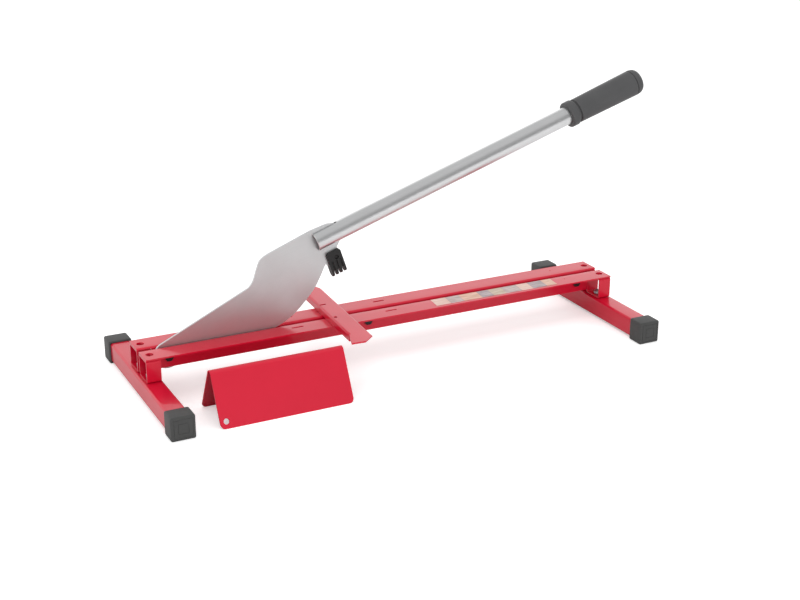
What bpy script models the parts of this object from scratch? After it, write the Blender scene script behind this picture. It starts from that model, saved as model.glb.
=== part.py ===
# Laminate cutter: two slotted rails on two foot bars, a lever blade that shears through the slot,
# a loose board stop across the rails and a bent sheet that holds up the board's free end.
# Metres, +Z up. While it is built, X 0 is the middle of the left foot bar, Y 0 the middle of the
# slot and Z 0 the floor. At the end the whole bench moves so that its box stands centred on the origin.

import math

import bmesh
import bpy
from mathutils import Matrix, Vector

# Gaps and cuts that every piece shares
SEAT_GAP = 0.0003
CUT_OVERRUN = 0.004
ROUND_STEPS = 24
SMALL_ROUND_STEPS = 16
TUBE_STEPS = 32
CORNER_STEPS = 3
SMOOTH_DEGREES = 35

# Foot bars and the caps on their ends
FOOT_SIZE = 0.025
FOOT_WALL = 0.0018
FOOT_CORNER = 0.003
FOOT_LENGTH = 0.2739
FOOT_BACK_REACH = 0.1326
FOOT_SPACING = 0.643
CAP_SIZE = 0.030
CAP_LENGTH = 0.025
CAP_END_WALL = 0.0025
CAP_CORNER = 0.002

# Posts between the foot bars and the rails
POST_LENGTH = 0.018
POST_HEIGHT = 0.0284
POST_WALL = 0.002
POST_CORNER = 0.003

# Rails
RAIL_WIDTH = 0.0305
RAIL_SHEET = 0.002
RAIL_BEND = 0.003
RAIL_LEFT_REACH = 0.008
RAIL_RIGHT_REACH = 0.0095
SLOT_WIDTH = 0.00665
FLANGE_DEPTH = 0.0262
PUNCH_LENGTH = 0.0164
PUNCH_WIDTH = 0.0031
PUNCH_OFFSET = 0.0024
PUNCH_NEAR_X = 0.193
PUNCH_STOP_X = 0.243
PUNCH_FAR_X = 0.3233

# Screws that hold the posts to the foot bars
SCREW_DIAMETER = 0.006
SCREW_LENGTH = 0.014
SCREW_HEAD_WIDTH = 0.0115
SCREW_HEAD_HEIGHT = 0.004
SCREW_KEY_WIDTH = 0.005
SCREW_KEY_DEPTH = 0.0022
SCREW_NUT_WIDTH = 0.010
SCREW_NUT_HEIGHT = 0.005
SCREW_ACCESS_DIAMETER = 0.0095

# Cross bolts through the rails
BOLT_DIAMETER = 0.006
BOLT_HEAD_WIDTH = 0.010
BOLT_HEAD_HEIGHT = 0.004
BOLT_NUT_HEIGHT = 0.005
BOLT_TAIL = 0.002
BOLT_DROP = 0.0125
PIVOT_X = 0.0283
MID_BOLT_X = 0.295
RIGHT_BOLT_SETBACK = 0.0283
SPACER_DIAMETER = 0.012

# Lever blade, in the arm's own frame: along the handle and square to it, from the pivot
ARM_RAISE_DEGREES = 18.5
BLADE_THICKNESS = 0.003
BLADE_REACH = 0.2234
BLADE_BELLY = 0.0342
HEEL_RADIUS = 0.0170
HANDLE_RISE = 0.0463
TANG_DEPTH = 0.032
TANG_PROUD = 0.0052
TANG_NECK = 0.0015
WASHER_DIAMETER = 0.012

# Handle tube and its grip
TUBE_DIAMETER = 0.024
TUBE_WALL = 0.0015
TUBE_LENGTH = 0.496
TUBE_SLOT_LENGTH = 0.035
GRIP_DEPTH = 0.111
GRIP_COLLAR_LENGTH = 0.012
GRIP_COLLAR_DIAMETER = 0.0346
GRIP_COLLAR_ROUNDING = 0.0012
GRIP_GROOVE_LENGTH = 0.003
GRIP_GROOVE_DIAMETER = 0.030
GRIP_NECK_DIAMETER = 0.0324
GRIP_BODY_LENGTH = 0.092
GRIP_BODY_DIAMETER = 0.0352
GRIP_DOME_LENGTH = 0.012
GRIP_DOME_INSET = 0.008

# Bumper under the handle, straddling the blade's tab
BUMPER_START = 0.0065
BUMPER_DROP = 0.0205
BUMPER_WIDTH = 0.020
BUMPER_THICKNESS = 0.0104
BUMPER_HEAD_HEIGHT = 0.0125
BUMPER_CORNER = 0.0035
BUMPER_CORE_HEIGHT = 0.013
BUMPER_CORE_THICKNESS = 0.007
FIN_COUNT = 4
FIN_THICKNESS = 0.0028
FIN_HEIGHT = 0.021
TAB_WALL = 0.002
TAB_HEIGHT = 0.0175
PIN_DIAMETER = 0.005
PIN_INSET = 0.0078
PIN_DROP = 0.0091
PIN_RECESS = 0.001

# Board stop across the rails
STOP_WIDTH = 0.026
STOP_LENGTH = 0.1995
STOP_HEIGHT = 0.0093
STOP_SHEET = 0.002
STOP_BEND = 0.003
STOP_X = 0.2478
STOP_Y = -0.016
STOP_TURN_DEGREES = 3.2
STOP_FRONT_CUT = 0.0148
STOP_EAR_WIDTH = 0.0075
STOP_EAR_LENGTH = 0.027
STOP_BACK_CUT_WIDTH = 0.005
STOP_BACK_CUT_LENGTH = 0.011
TONGUE_WIDTH = 0.008
TONGUE_SHEET = 0.002
TONGUE_REACH = 0.002
NOTCH_WIDTH = 0.003
STOP_HOLE_WIDTH = 0.004
STOP_HOLE_LENGTH = 0.005
STOP_HOLE_X = 0.0075
STOP_HOLE_Y = 0.0125

# Loose board support
SUPPORT_LENGTH = 0.1688
SUPPORT_SPREAD = 0.0704
SUPPORT_HEIGHT = 0.061
SUPPORT_SHEET = 0.002
SUPPORT_BEND = 0.006
SUPPORT_CORNER = 0.006
SUPPORT_X = 0.131
SUPPORT_Y = -0.100
SUPPORT_HOLE_DIAMETER = 0.007
SUPPORT_HOLE_INSET = 0.0081
SUPPORT_HOLE_RISE = 0.0088

# Finishes: colour, roughness, metallic
RED_COAT = ((0.52, 0.012, 0.022), 0.28, 0.0)
CAP_PLASTIC = ((0.035, 0.036, 0.038), 0.6, 0.0)
BRUSHED_STEEL = ((0.62, 0.63, 0.64), 0.32, 1.0)
TUBE_STEEL = ((0.66, 0.67, 0.68), 0.22, 1.0)
BLACK_STEEL = ((0.03, 0.035, 0.034), 0.4, 0.6)
ZINC_STEEL = ((0.55, 0.56, 0.57), 0.35, 1.0)
GRIP_RUBBER = ((0.02, 0.02, 0.021), 0.55, 0.0)

# Places worked out from the sizes above
FOOT_MIDDLE_Y = FOOT_BACK_REACH - FOOT_LENGTH / 2
FOOT_BAR_TOP = (CAP_SIZE + FOOT_SIZE) / 2
POST_BOTTOM = FOOT_BAR_TOP + SEAT_GAP
POST_TOP = POST_BOTTOM + POST_HEIGHT
RAIL_TOP = POST_TOP + SEAT_GAP + RAIL_SHEET
RAIL_MIDDLE = (SLOT_WIDTH + RAIL_WIDTH) / 2
RAIL_START = -RAIL_LEFT_REACH
RAIL_END = FOOT_SPACING + RAIL_RIGHT_REACH
RIGHT_BOLT_X = FOOT_SPACING - RIGHT_BOLT_SETBACK
BOLT_Z = RAIL_TOP - BOLT_DROP
POST_MIDDLES = (RAIL_START + POST_LENGTH / 2, RAIL_END - POST_LENGTH / 2)
BOLT_HOLE = BOLT_DIAMETER + 2 * SEAT_GAP
SCREW_HOLE = SCREW_DIAMETER + 2 * SEAT_GAP
PIN_HOLE = PIN_DIAMETER + 2 * SEAT_GAP
SIDES = (("front", -1), ("back", 1))


# Outlines: lists of (across, up) points, anticlockwise

def arc(middle, radius, start, end, steps):
    angles = [math.radians(start + (end - start) * i / steps) for i in range(steps + 1)]
    return [(middle[0] + radius * math.cos(a), middle[1] + radius * math.sin(a)) for a in angles]


def circle(radius, steps, middle=(0, 0)):
    return arc(middle, radius, 0, 360, steps)[:-1]


def rectangle(low_x, low_y, high_x, high_y):
    return [(low_x, low_y), (high_x, low_y), (high_x, high_y), (low_x, high_y)]


def rounded_rectangle(width, height, radius, steps=CORNER_STEPS):
    x = width / 2 - radius
    y = height / 2 - radius
    corners = (((x, -y), -90), ((x, y), 0), ((-x, y), 90), ((-x, -y), 180))
    return [point for middle, start in corners for point in arc(middle, radius, start, start + 90, steps)]


def hexagon(across_flats):
    return circle(across_flats / math.sqrt(3), 6)


def smooth_line(points, steps):
    """A smooth curve through points, leaving its ends straight."""
    path = [points[0]] + list(points) + [points[-1]]
    line = []
    for before, start, end, after in zip(path, path[1:], path[2:], path[3:]):
        for i in range(steps):
            t = i / steps
            weights = (-t + 2 * t**2 - t**3, 2 - 5 * t**2 + 3 * t**3, t + 4 * t**2 - 3 * t**3, t**3 - t**2)
            near = (before, start, end, after)
            line.append(tuple(sum(w * p[k] for w, p in zip(weights, near)) / 2 for k in (0, 1)))
    return line + [tuple(points[-1])]


# Solids: a mesh in its piece's own frame

def along(axis, across, up, depth):
    """The point of an outline's plane that stands square to an axis."""
    places = {"X": (depth, across, up), "Y": (across, depth, up), "Z": (across, up, depth)}
    return places[axis]


def new_piece(name, mesh_maker):
    mesh = bpy.data.meshes.new(name)
    bmesh.ops.recalc_face_normals(mesh_maker, faces=mesh_maker.faces)
    mesh_maker.to_mesh(mesh)
    mesh_maker.free()
    piece = bpy.data.objects.new(name, mesh)
    bpy.context.collection.objects.link(piece)
    return piece


def add_rings(maker, rings):
    """Vertex rings, each joined to the next by a band of faces."""
    rows = [[maker.verts.new(point) for point in ring] for ring in rings]
    for lower, upper in zip(rows, rows[1:]):
        for i in range(len(lower)):
            j = (i + 1) % len(lower)
            maker.faces.new((lower[i], lower[j], upper[j], upper[i]))
    return rows


def prism(name, outline, start, end, axis="Z"):
    maker = bmesh.new()
    rows = add_rings(maker, [[along(axis, a, b, place) for a, b in outline] for place in (start, end)])
    maker.faces.new(rows[0])
    maker.faces.new(rows[-1])
    return new_piece(name, maker)


def hollow_prism(name, outer, inner, start, end, axis="Z"):
    maker = bmesh.new()
    loops = ((outer, start), (outer, end), (inner, end), (inner, start), (outer, start))
    rows = add_rings(maker, [[along(axis, a, b, place) for a, b in outline] for outline, place in loops])
    bmesh.ops.remove_doubles(maker, verts=rows[0] + rows[-1], dist=SEAT_GAP / 10)
    return new_piece(name, maker)


def turned(name, profile, axis, steps):
    """A closed turned solid; the profile is (place along the axis, radius), from end face to end face."""
    maker = bmesh.new()
    rings = [[along(axis, a, b, place) for a, b in circle(radius, steps)] for place, radius in profile]
    rows = add_rings(maker, rings)
    maker.faces.new(rows[0])
    maker.faces.new(rows[-1])
    return new_piece(name, maker)


def block(name, low, high):
    return prism(name, rectangle(low[0], low[1], high[0], high[1]), low[2], high[2])


def combine(piece, operation, tools):
    """Cut or join a piece with tools that share its frame, and use them up."""
    for tool in tools:
        change = piece.modifiers.new("shape", "BOOLEAN")
        change.operation = operation
        change.object = tool
    bpy.context.view_layer.update()
    shaped = bpy.data.meshes.new_from_object(piece.evaluated_get(bpy.context.evaluated_depsgraph_get()))
    plain = piece.data
    piece.modifiers.clear()
    piece.data = shaped
    bpy.data.meshes.remove(plain)
    shaped.name = piece.name
    for tool in tools:
        bpy.data.meshes.remove(tool.data)
    return piece


def cut(piece, *tools):
    return combine(piece, "DIFFERENCE", tools)


def join(piece, *tools):
    return combine(piece, "UNION", tools)


def finish(piece, look, parent, location=(0, 0, 0)):
    """Give a piece its own material, smooth shading and its place on what carries it."""
    colour, roughness, metallic = look
    material = bpy.data.materials.new(piece.name + "_finish")
    material.use_nodes = True
    shader = material.node_tree.nodes["Principled BSDF"]
    shader.inputs["Base Color"].default_value = (*colour, 1)
    shader.inputs["Roughness"].default_value = roughness
    shader.inputs["Metallic"].default_value = metallic
    piece.data.materials.clear()
    piece.data.materials.append(material)
    piece.data.shade_smooth()
    piece.data.set_sharp_from_angle(angle=math.radians(SMOOTH_DEGREES))
    piece.parent = parent
    piece.location = location
    return piece


def new_parent(name, parent=None, location=(0, 0, 0)):
    empty = bpy.data.objects.new(name, None)
    bpy.context.collection.objects.link(empty)
    empty.parent = parent
    empty.location = location
    return empty


# Foot bars: square tube, one under each end of the rails

def foot_bar(name, bench, x):
    half = FOOT_LENGTH / 2 - CAP_END_WALL - SEAT_GAP
    inside = FOOT_SIZE - 2 * FOOT_WALL
    bar = hollow_prism(name, rounded_rectangle(FOOT_SIZE, FOOT_SIZE, FOOT_CORNER),
                       rounded_rectangle(inside, inside, FOOT_CORNER - FOOT_WALL), -half, half, "Y")
    post_x = min(POST_MIDDLES, key=lambda middle: abs(middle - x))
    holes = []
    for side_name, side in SIDES:
        place = (post_x - x, side * RAIL_MIDDLE - FOOT_MIDDLE_Y)
        outline = circle(SCREW_HOLE / 2, SMALL_ROUND_STEPS, place)
        holes.append(prism("hole_" + side_name, outline, 0, FOOT_SIZE))
    cut(bar, *holes)
    finish(bar, RED_COAT, bench, (x, FOOT_MIDDLE_Y, CAP_SIZE / 2))


# Foot caps: moulded, pushed over the ends of the foot bars

def foot_cap(name, bench, x, side):
    maker = bmesh.new()
    bmesh.ops.create_cube(maker, size=1)
    bmesh.ops.scale(maker, vec=(CAP_SIZE, CAP_LENGTH, CAP_SIZE), verts=maker.verts)
    bmesh.ops.bevel(maker, geom=maker.edges[:], offset=CAP_CORNER, segments=CORNER_STEPS,
                    profile=0.5, affect="EDGES")
    cap = new_piece(name, maker)
    socket = FOOT_SIZE / 2 + SEAT_GAP
    mouth = CAP_LENGTH / 2 + CUT_OVERRUN
    floor = CAP_LENGTH / 2 - CAP_END_WALL
    ends = sorted((-side * mouth, side * floor))
    cut(cap, prism("socket", rectangle(-socket, -socket, socket, socket), ends[0], ends[1], "Y"))
    y = FOOT_MIDDLE_Y + side * (FOOT_LENGTH - CAP_LENGTH) / 2
    finish(cap, CAP_PLASTIC, bench, (x, y, CAP_SIZE / 2))


# Posts: short pieces of rectangular tube that carry the rails, open to left and right

def post(name, bench, x, side):
    outer = rounded_rectangle(RAIL_WIDTH, POST_HEIGHT, POST_CORNER)
    inner = rounded_rectangle(RAIL_WIDTH - 2 * POST_WALL, POST_HEIGHT - 2 * POST_WALL,
                              POST_CORNER - POST_WALL)
    tube = hollow_prism(name, outer, inner, -POST_LENGTH / 2, POST_LENGTH / 2, "X")
    cut(tube,
        prism("screw_hole", circle(SCREW_HOLE / 2, SMALL_ROUND_STEPS), -POST_HEIGHT, 0),
        prism("access_hole", circle(SCREW_ACCESS_DIAMETER / 2, SMALL_ROUND_STEPS), 0, POST_HEIGHT))
    finish(tube, RED_COAT, bench, (x, side * RAIL_MIDDLE, (POST_BOTTOM + POST_TOP) / 2))


def post_screw(name, bench, x, side):
    head = prism(name, circle(SCREW_HEAD_WIDTH / 2, ROUND_STEPS), 0, SCREW_HEAD_HEIGHT)
    shank = prism("shank", circle(SCREW_DIAMETER / 2, SMALL_ROUND_STEPS), -SCREW_LENGTH,
                  SCREW_HEAD_HEIGHT / 2)
    key = prism("key", hexagon(SCREW_KEY_WIDTH), SCREW_HEAD_HEIGHT - SCREW_KEY_DEPTH,
                SCREW_HEAD_HEIGHT + CUT_OVERRUN)
    join(head, shank)
    cut(head, key)
    seat = POST_BOTTOM + POST_WALL + SEAT_GAP
    finish(head, ZINC_STEEL, bench, (x, side * RAIL_MIDDLE, seat))


def post_nut(name, bench, x, side):
    nut = prism(name, hexagon(SCREW_NUT_WIDTH), -SCREW_NUT_HEIGHT, 0)
    bore = prism("bore", circle(SCREW_HOLE / 2, SMALL_ROUND_STEPS),
                 -SCREW_NUT_HEIGHT - CUT_OVERRUN, CUT_OVERRUN)
    cut(nut, bore)
    top = FOOT_BAR_TOP - FOOT_WALL - SEAT_GAP
    finish(nut, ZINC_STEEL, bench, (x, side * RAIL_MIDDLE, top))


# Rails: folded angles, each with its flange beside the slot and its outer edge free

def angle_outline(side):
    """A flat web, its top at zero, and one flange hanging from a rounded bend at the slot's side."""
    half = RAIL_WIDTH / 2
    bend = arc((half - RAIL_BEND, -RAIL_BEND), RAIL_BEND, 90, 0, CORNER_STEPS)
    inside = arc((half - RAIL_BEND, -RAIL_BEND), RAIL_BEND - RAIL_SHEET, 0, 90, CORNER_STEPS)
    foot = [(half, -FLANGE_DEPTH), (half - RAIL_SHEET, -FLANGE_DEPTH)]
    outline = [(-half, 0)] + bend + foot + inside + [(-half, -RAIL_SHEET)]
    return [(-side * a, b) for a, b in outline]


def rail(name, bench, side):
    angle = prism(name, angle_outline(side), RAIL_START, RAIL_END, "X")
    below = -FLANGE_DEPTH - CUT_OVERRUN
    tools = []
    for middle in POST_MIDDLES:
        room = POST_LENGTH / 2 + SEAT_GAP
        tools.append(block("post_relief", (middle - room, -RAIL_WIDTH, below),
                           (middle + room, RAIL_WIDTH, -RAIL_SHEET)))
        outline = circle(SCREW_ACCESS_DIAMETER / 2, SMALL_ROUND_STEPS, (middle, 0))
        tools.append(prism("access_hole", outline, -RAIL_SHEET - CUT_OVERRUN, CUT_OVERRUN))
    for x in (PIVOT_X, MID_BOLT_X, RIGHT_BOLT_X):
        outline = circle(BOLT_HOLE / 2, SMALL_ROUND_STEPS, (x, -BOLT_DROP))
        tools.append(prism("bolt_hole", outline, -RAIL_WIDTH, RAIL_WIDTH, "Y"))
    for x in (PUNCH_NEAR_X, PUNCH_STOP_X, PUNCH_FAR_X):
        low = (x - PUNCH_LENGTH / 2, PUNCH_OFFSET - PUNCH_WIDTH / 2, -RAIL_SHEET - CUT_OVERRUN)
        high = (x + PUNCH_LENGTH / 2, PUNCH_OFFSET + PUNCH_WIDTH / 2, CUT_OVERRUN)
        tools.append(block("punched_slot", low, high))
    cut(angle, *tools)
    finish(angle, RED_COAT, bench, (0, side * RAIL_MIDDLE, RAIL_TOP))


# Cross bolts: one is the blade's pivot, two hold the rails apart at the slot's width

def bolt_set(bench, place, x):
    outside = SLOT_WIDTH / 2 + RAIL_SHEET + SEAT_GAP
    head_name = "pivot_bolt" if place == "pivot" else "cross_bolt_" + place
    nut_name = "pivot_nut" if place == "pivot" else "cross_nut_" + place
    tail = outside + BOLT_NUT_HEIGHT + BOLT_TAIL
    bolt = prism(head_name, hexagon(BOLT_HEAD_WIDTH), -outside - BOLT_HEAD_HEIGHT, -outside, "Y")
    shank = prism("shank", circle(BOLT_DIAMETER / 2, SMALL_ROUND_STEPS),
                  -outside - BOLT_HEAD_HEIGHT / 2, tail, "Y")
    join(bolt, shank)
    finish(bolt, BLACK_STEEL, bench, (x, 0, BOLT_Z))
    nut = prism(nut_name, hexagon(BOLT_HEAD_WIDTH), outside, outside + BOLT_NUT_HEIGHT, "Y")
    bore = prism("bore", circle(BOLT_HOLE / 2, SMALL_ROUND_STEPS), outside - CUT_OVERRUN,
                 outside + BOLT_NUT_HEIGHT + CUT_OVERRUN, "Y")
    cut(nut, bore)
    finish(nut, BLACK_STEEL, bench, (x, 0, BOLT_Z))


def slot_spacer(name, bench, x):
    half = SLOT_WIDTH / 2 - SEAT_GAP
    spacer = hollow_prism(name, circle(SPACER_DIAMETER / 2, ROUND_STEPS),
                          circle(BOLT_HOLE / 2, ROUND_STEPS), -half, half, "Y")
    finish(spacer, ZINC_STEEL, bench, (x, 0, BOLT_Z))


def pivot_washer(name, bench, side):
    near = BLADE_THICKNESS / 2 + SEAT_GAP
    far = SLOT_WIDTH / 2 - SEAT_GAP
    middle = (near + far) / 2
    half = (far - near) / 2
    washer = hollow_prism(name, circle(WASHER_DIAMETER / 2, ROUND_STEPS),
                          circle(BOLT_HOLE / 2, ROUND_STEPS), -half, half, "Y")
    finish(washer, ZINC_STEEL, bench, (PIVOT_X, side * middle, BOLT_Z))


# Blade: flat plate, drawn along the handle (across) and square to it (up), from the pivot

BACK_RISER_SHARES = ((0.552, 0.493), (0.5905, 0.5818), (0.6373, 0.7934), (0.6716, 0.9189),
                     (0.7246, 0.959))
BACK_CREST_SHARES = ((0.9969, 1.0), (1.0967, 0.9761))
BELLY_SHARES = ((0.3057, -0.6375), (0.525, -0.9618), (0.6279, -1.0), (0.7246, -0.8881),
                (0.814, -0.6464), (0.9168, -0.2368), (1.0125, 0.3711))


def heel_tangent(point, turn):
    """The angle, in degrees, at which a straight edge from a point touches the round heel."""
    distance = math.hypot(*point)
    return math.degrees(math.atan2(point[1], point[0]) + turn * math.acos(HEEL_RADIUS / distance))


def blade_outline():
    top = HANDLE_RISE + TUBE_DIAMETER / 2 + TANG_PROUD
    tang_end = BLADE_REACH + TANG_DEPTH
    tube_top = HANDLE_RISE + TUBE_DIAMETER / 2
    tube_bottom = HANDLE_RISE - TUBE_DIAMETER / 2
    tab_left = BLADE_REACH + BUMPER_START
    tab_right = tab_left + BUMPER_WIDTH - TAB_WALL - SEAT_GAP
    tab_top = HANDLE_RISE - BUMPER_DROP
    tab_bottom = tab_top - TAB_HEIGHT
    back = smooth_line([(a * BLADE_REACH, b * top) for a, b in BACK_RISER_SHARES], CORNER_STEPS)
    crest = [(a * BLADE_REACH, b * top) for a, b in BACK_CREST_SHARES]
    belly = smooth_line([(a * BLADE_REACH, b * BLADE_BELLY) for a, b in BELLY_SHARES], CORNER_STEPS)
    heel = arc((0, 0), HEEL_RADIUS, heel_tangent(back[0], 1), 360 + heel_tangent(belly[0], -1),
               SMALL_ROUND_STEPS)
    tab = [(tab_left, tab_bottom), (tab_right, tab_bottom), (tab_right, tab_top + TANG_NECK),
           (tang_end, tube_bottom), (tang_end, tube_top)]
    return heel + belly + tab + crest[::-1] + back[::-1]


def blade(arm):
    half = BLADE_THICKNESS / 2
    plate = prism("blade", blade_outline(), -half, half, "Y")
    pin = (BLADE_REACH + BUMPER_START + BUMPER_WIDTH - PIN_INSET, HANDLE_RISE - BUMPER_DROP - PIN_DROP)
    cut(plate,
        prism("pivot_hole", circle(BOLT_HOLE / 2, ROUND_STEPS), -CUT_OVERRUN, CUT_OVERRUN, "Y"),
        prism("pin_hole", circle(PIN_HOLE / 2, SMALL_ROUND_STEPS, pin), -CUT_OVERRUN, CUT_OVERRUN, "Y"))
    finish(plate, BRUSHED_STEEL, arm)


# Handle tube: slotted at its near end to take the blade's tang

def handle_tube(arm):
    tube = hollow_prism("handle_tube", circle(TUBE_DIAMETER / 2, TUBE_STEPS),
                        circle(TUBE_DIAMETER / 2 - TUBE_WALL, TUBE_STEPS),
                        0, TUBE_LENGTH, "X")
    half = BLADE_THICKNESS / 2 + SEAT_GAP
    cut(tube, block("tang_slot", (-CUT_OVERRUN, -half, -TUBE_DIAMETER), (TUBE_SLOT_LENGTH, half, TUBE_DIAMETER)))
    finish(tube, TUBE_STEEL, arm, (BLADE_REACH, 0, HANDLE_RISE))


# Grip: moulded rubber sleeve with a collar, closed at its far end

def grip(arm):
    bore = TUBE_DIAMETER / 2 + SEAT_GAP
    collar = GRIP_COLLAR_DIAMETER / 2
    groove = GRIP_GROOVE_DIAMETER / 2
    body = GRIP_BODY_DIAMETER / 2
    rounding = GRIP_COLLAR_ROUNDING
    body_start = GRIP_COLLAR_LENGTH + GRIP_GROOVE_LENGTH
    body_end = body_start + GRIP_BODY_LENGTH
    profile = [(GRIP_DEPTH + SEAT_GAP, bore), (0, bore), (0, collar - rounding), (rounding, collar),
               (GRIP_COLLAR_LENGTH - rounding, collar), (GRIP_COLLAR_LENGTH, collar - rounding),
               (GRIP_COLLAR_LENGTH, groove), (body_start, groove),
               (body_start, GRIP_NECK_DIAMETER / 2 - rounding / 2),
               (body_start + rounding / 2, GRIP_NECK_DIAMETER / 2)]
    dome = arc((0, 0), 1, 90, 0, 2 * CORNER_STEPS)
    profile += [(body_end + GRIP_DOME_LENGTH * b, body - GRIP_DOME_INSET * (1 - a)) for b, a in dome]
    sleeve = turned("grip", profile, "X", TUBE_STEPS)
    finish(sleeve, GRIP_RUBBER, arm, (BLADE_REACH + TUBE_LENGTH - GRIP_DEPTH, 0, HANDLE_RISE))


# Bumper: moulded block with four fins that land on the board stop, pinned to the blade's tab

def bumper(arm):
    half_width = BUMPER_WIDTH / 2
    half = BUMPER_THICKNESS / 2
    head_outline = arc((half_width - BUMPER_CORNER, -BUMPER_CORNER), BUMPER_CORNER, 0, 90, CORNER_STEPS)
    head_outline += arc((BUMPER_CORNER - half_width, -BUMPER_CORNER), BUMPER_CORNER, 90, 180, CORNER_STEPS)
    head_outline += [(-half_width, -BUMPER_HEAD_HEIGHT), (half_width, -BUMPER_HEAD_HEIGHT)]
    head = prism("bumper", head_outline, -half, half, "Y")
    core_half = BUMPER_CORE_THICKNESS / 2
    core_inset = half_width - FIN_THICKNESS / 2
    core = block("core", (-core_inset, -core_half, -BUMPER_HEAD_HEIGHT - BUMPER_CORE_HEIGHT),
                 (core_inset, core_half, -BUMPER_HEAD_HEIGHT / 2))
    fin_top = BUMPER_CORNER - BUMPER_HEAD_HEIGHT
    fin_bottom = -BUMPER_HEAD_HEIGHT - FIN_HEIGHT
    fin_outline = [(-half, fin_top)] + arc((0, fin_bottom + half), half, 180, 360, 2 * CORNER_STEPS)
    fin_outline += [(half, fin_top)]
    pitch = (BUMPER_WIDTH - FIN_THICKNESS) / (FIN_COUNT - 1)
    fins = []
    for i in range(FIN_COUNT):
        left = -half_width + i * pitch
        fins.append(prism("fin", fin_outline, left, left + FIN_THICKNESS, "X"))
    join(head, core, *fins)
    slot_half = BLADE_THICKNESS / 2 + SEAT_GAP
    pin_place = (half_width - PIN_INSET, -PIN_DROP)
    cut(head,
        block("tab_slot", (-BUMPER_WIDTH, -slot_half, -TAB_HEIGHT - SEAT_GAP),
              (half_width - TAB_WALL, slot_half, CUT_OVERRUN)),
        prism("pin_hole", circle(PIN_HOLE / 2, SMALL_ROUND_STEPS, pin_place), -BUMPER_THICKNESS,
              BUMPER_THICKNESS, "Y"))
    place = (BLADE_REACH + BUMPER_START + half_width, 0, HANDLE_RISE - BUMPER_DROP)
    finish(head, GRIP_RUBBER, arm, place)
    pin_half = half - PIN_RECESS
    pin = prism("bumper_pin", circle(PIN_DIAMETER / 2, SMALL_ROUND_STEPS), -pin_half, pin_half, "Y")
    finish(pin, BLACK_STEEL, arm, (place[0] + pin_place[0], 0, place[2] + pin_place[1]))


# Board stop: folded sheet laid across both rails, its two tongues hanging in their punched slots

def stop_outline():
    half = STOP_WIDTH / 2
    inner_half = half - STOP_SHEET
    inner_bend = STOP_BEND - STOP_SHEET
    outer = arc((half - STOP_BEND, -STOP_BEND), STOP_BEND, 0, 90, CORNER_STEPS)
    outer += arc((STOP_BEND - half, -STOP_BEND), STOP_BEND, 90, 180, CORNER_STEPS)
    inner = arc((inner_bend - inner_half, -STOP_BEND), inner_bend, 180, 90, CORNER_STEPS)
    inner += arc((inner_half - inner_bend, -STOP_BEND), inner_bend, 90, 0, CORNER_STEPS)
    feet = [(-half, -STOP_HEIGHT), (-inner_half, -STOP_HEIGHT)]
    return outer + feet + inner + [(inner_half, -STOP_HEIGHT), (half, -STOP_HEIGHT)]


def stop_corner(side, width, length):
    """A cutter that takes one right-hand corner off the stop, run past it on both sides."""
    x = STOP_WIDTH / 2
    y = STOP_LENGTH / 2
    slope = length / width
    outline = [(x - width - CUT_OVERRUN / slope, y + CUT_OVERRUN), (x + CUT_OVERRUN, y + CUT_OVERRUN),
               (x + CUT_OVERRUN, y - length - CUT_OVERRUN * slope)]
    outline = [(a, side * b) for a, b in outline]
    return prism("corner_cut", outline, -STOP_HEIGHT - CUT_OVERRUN, CUT_OVERRUN)


def board_stop(bench):
    half_length = STOP_LENGTH / 2
    turn = Matrix.Rotation(math.radians(-STOP_TURN_DEGREES), 2)
    sheet = prism("board_stop", stop_outline(), -half_length, half_length, "Y")
    tongue_bottom = -STOP_HEIGHT - SEAT_GAP - RAIL_SHEET - TONGUE_REACH
    tongues = []
    notches = []
    for side_name, side in SIDES:
        hole = Vector((PUNCH_STOP_X, side * RAIL_MIDDLE + PUNCH_OFFSET)) - Vector((STOP_X, STOP_Y))
        x, y = turn.inverted() @ hole
        low = (x - TONGUE_WIDTH / 2, y - TONGUE_SHEET / 2, tongue_bottom)
        high = (x + TONGUE_WIDTH / 2, y + TONGUE_SHEET / 2, -STOP_SHEET / 2)
        tongues.append(block("tongue_" + side_name, low, high))
        if side > 0:
            notches.append(block("notch", (low[0], low[1] - NOTCH_WIDTH, -STOP_SHEET - CUT_OVERRUN / 2),
                                 (high[0], low[1], CUT_OVERRUN)))
    half = STOP_WIDTH / 2
    flange_end = STOP_EAR_LENGTH - half_length
    ear = prism("ear", [(-half - STOP_EAR_WIDTH, -half_length), (0, -half_length), (0, flange_end),
                        (-half, flange_end)], -STOP_SHEET, 0)
    flange_relief = block("flange_relief", (-STOP_WIDTH, -STOP_LENGTH, -STOP_HEIGHT - CUT_OVERRUN),
                          (STOP_WIDTH, flange_end, -STOP_SHEET))
    cut(sheet, flange_relief)
    join(sheet, ear, *tongues)
    hole = rectangle(-STOP_HOLE_X - STOP_HOLE_WIDTH / 2, -STOP_HOLE_Y - STOP_HOLE_LENGTH / 2,
                     -STOP_HOLE_X + STOP_HOLE_WIDTH / 2, -STOP_HOLE_Y + STOP_HOLE_LENGTH / 2)
    cut(sheet, stop_corner(-1, STOP_FRONT_CUT, STOP_FRONT_CUT),
        stop_corner(1, STOP_BACK_CUT_WIDTH, STOP_BACK_CUT_LENGTH),
        prism("small_hole", hole, -STOP_SHEET - CUT_OVERRUN, CUT_OVERRUN), *notches)
    seat = new_parent("stop_seat", bench, (STOP_X, STOP_Y, RAIL_TOP + SEAT_GAP + STOP_HEIGHT))
    seat.rotation_euler.z = math.radians(-STOP_TURN_DEGREES)
    finish(sheet, RED_COAT, seat)


# Board support: sheet bent to an upside-down V that stands loose in front of the rails

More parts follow.
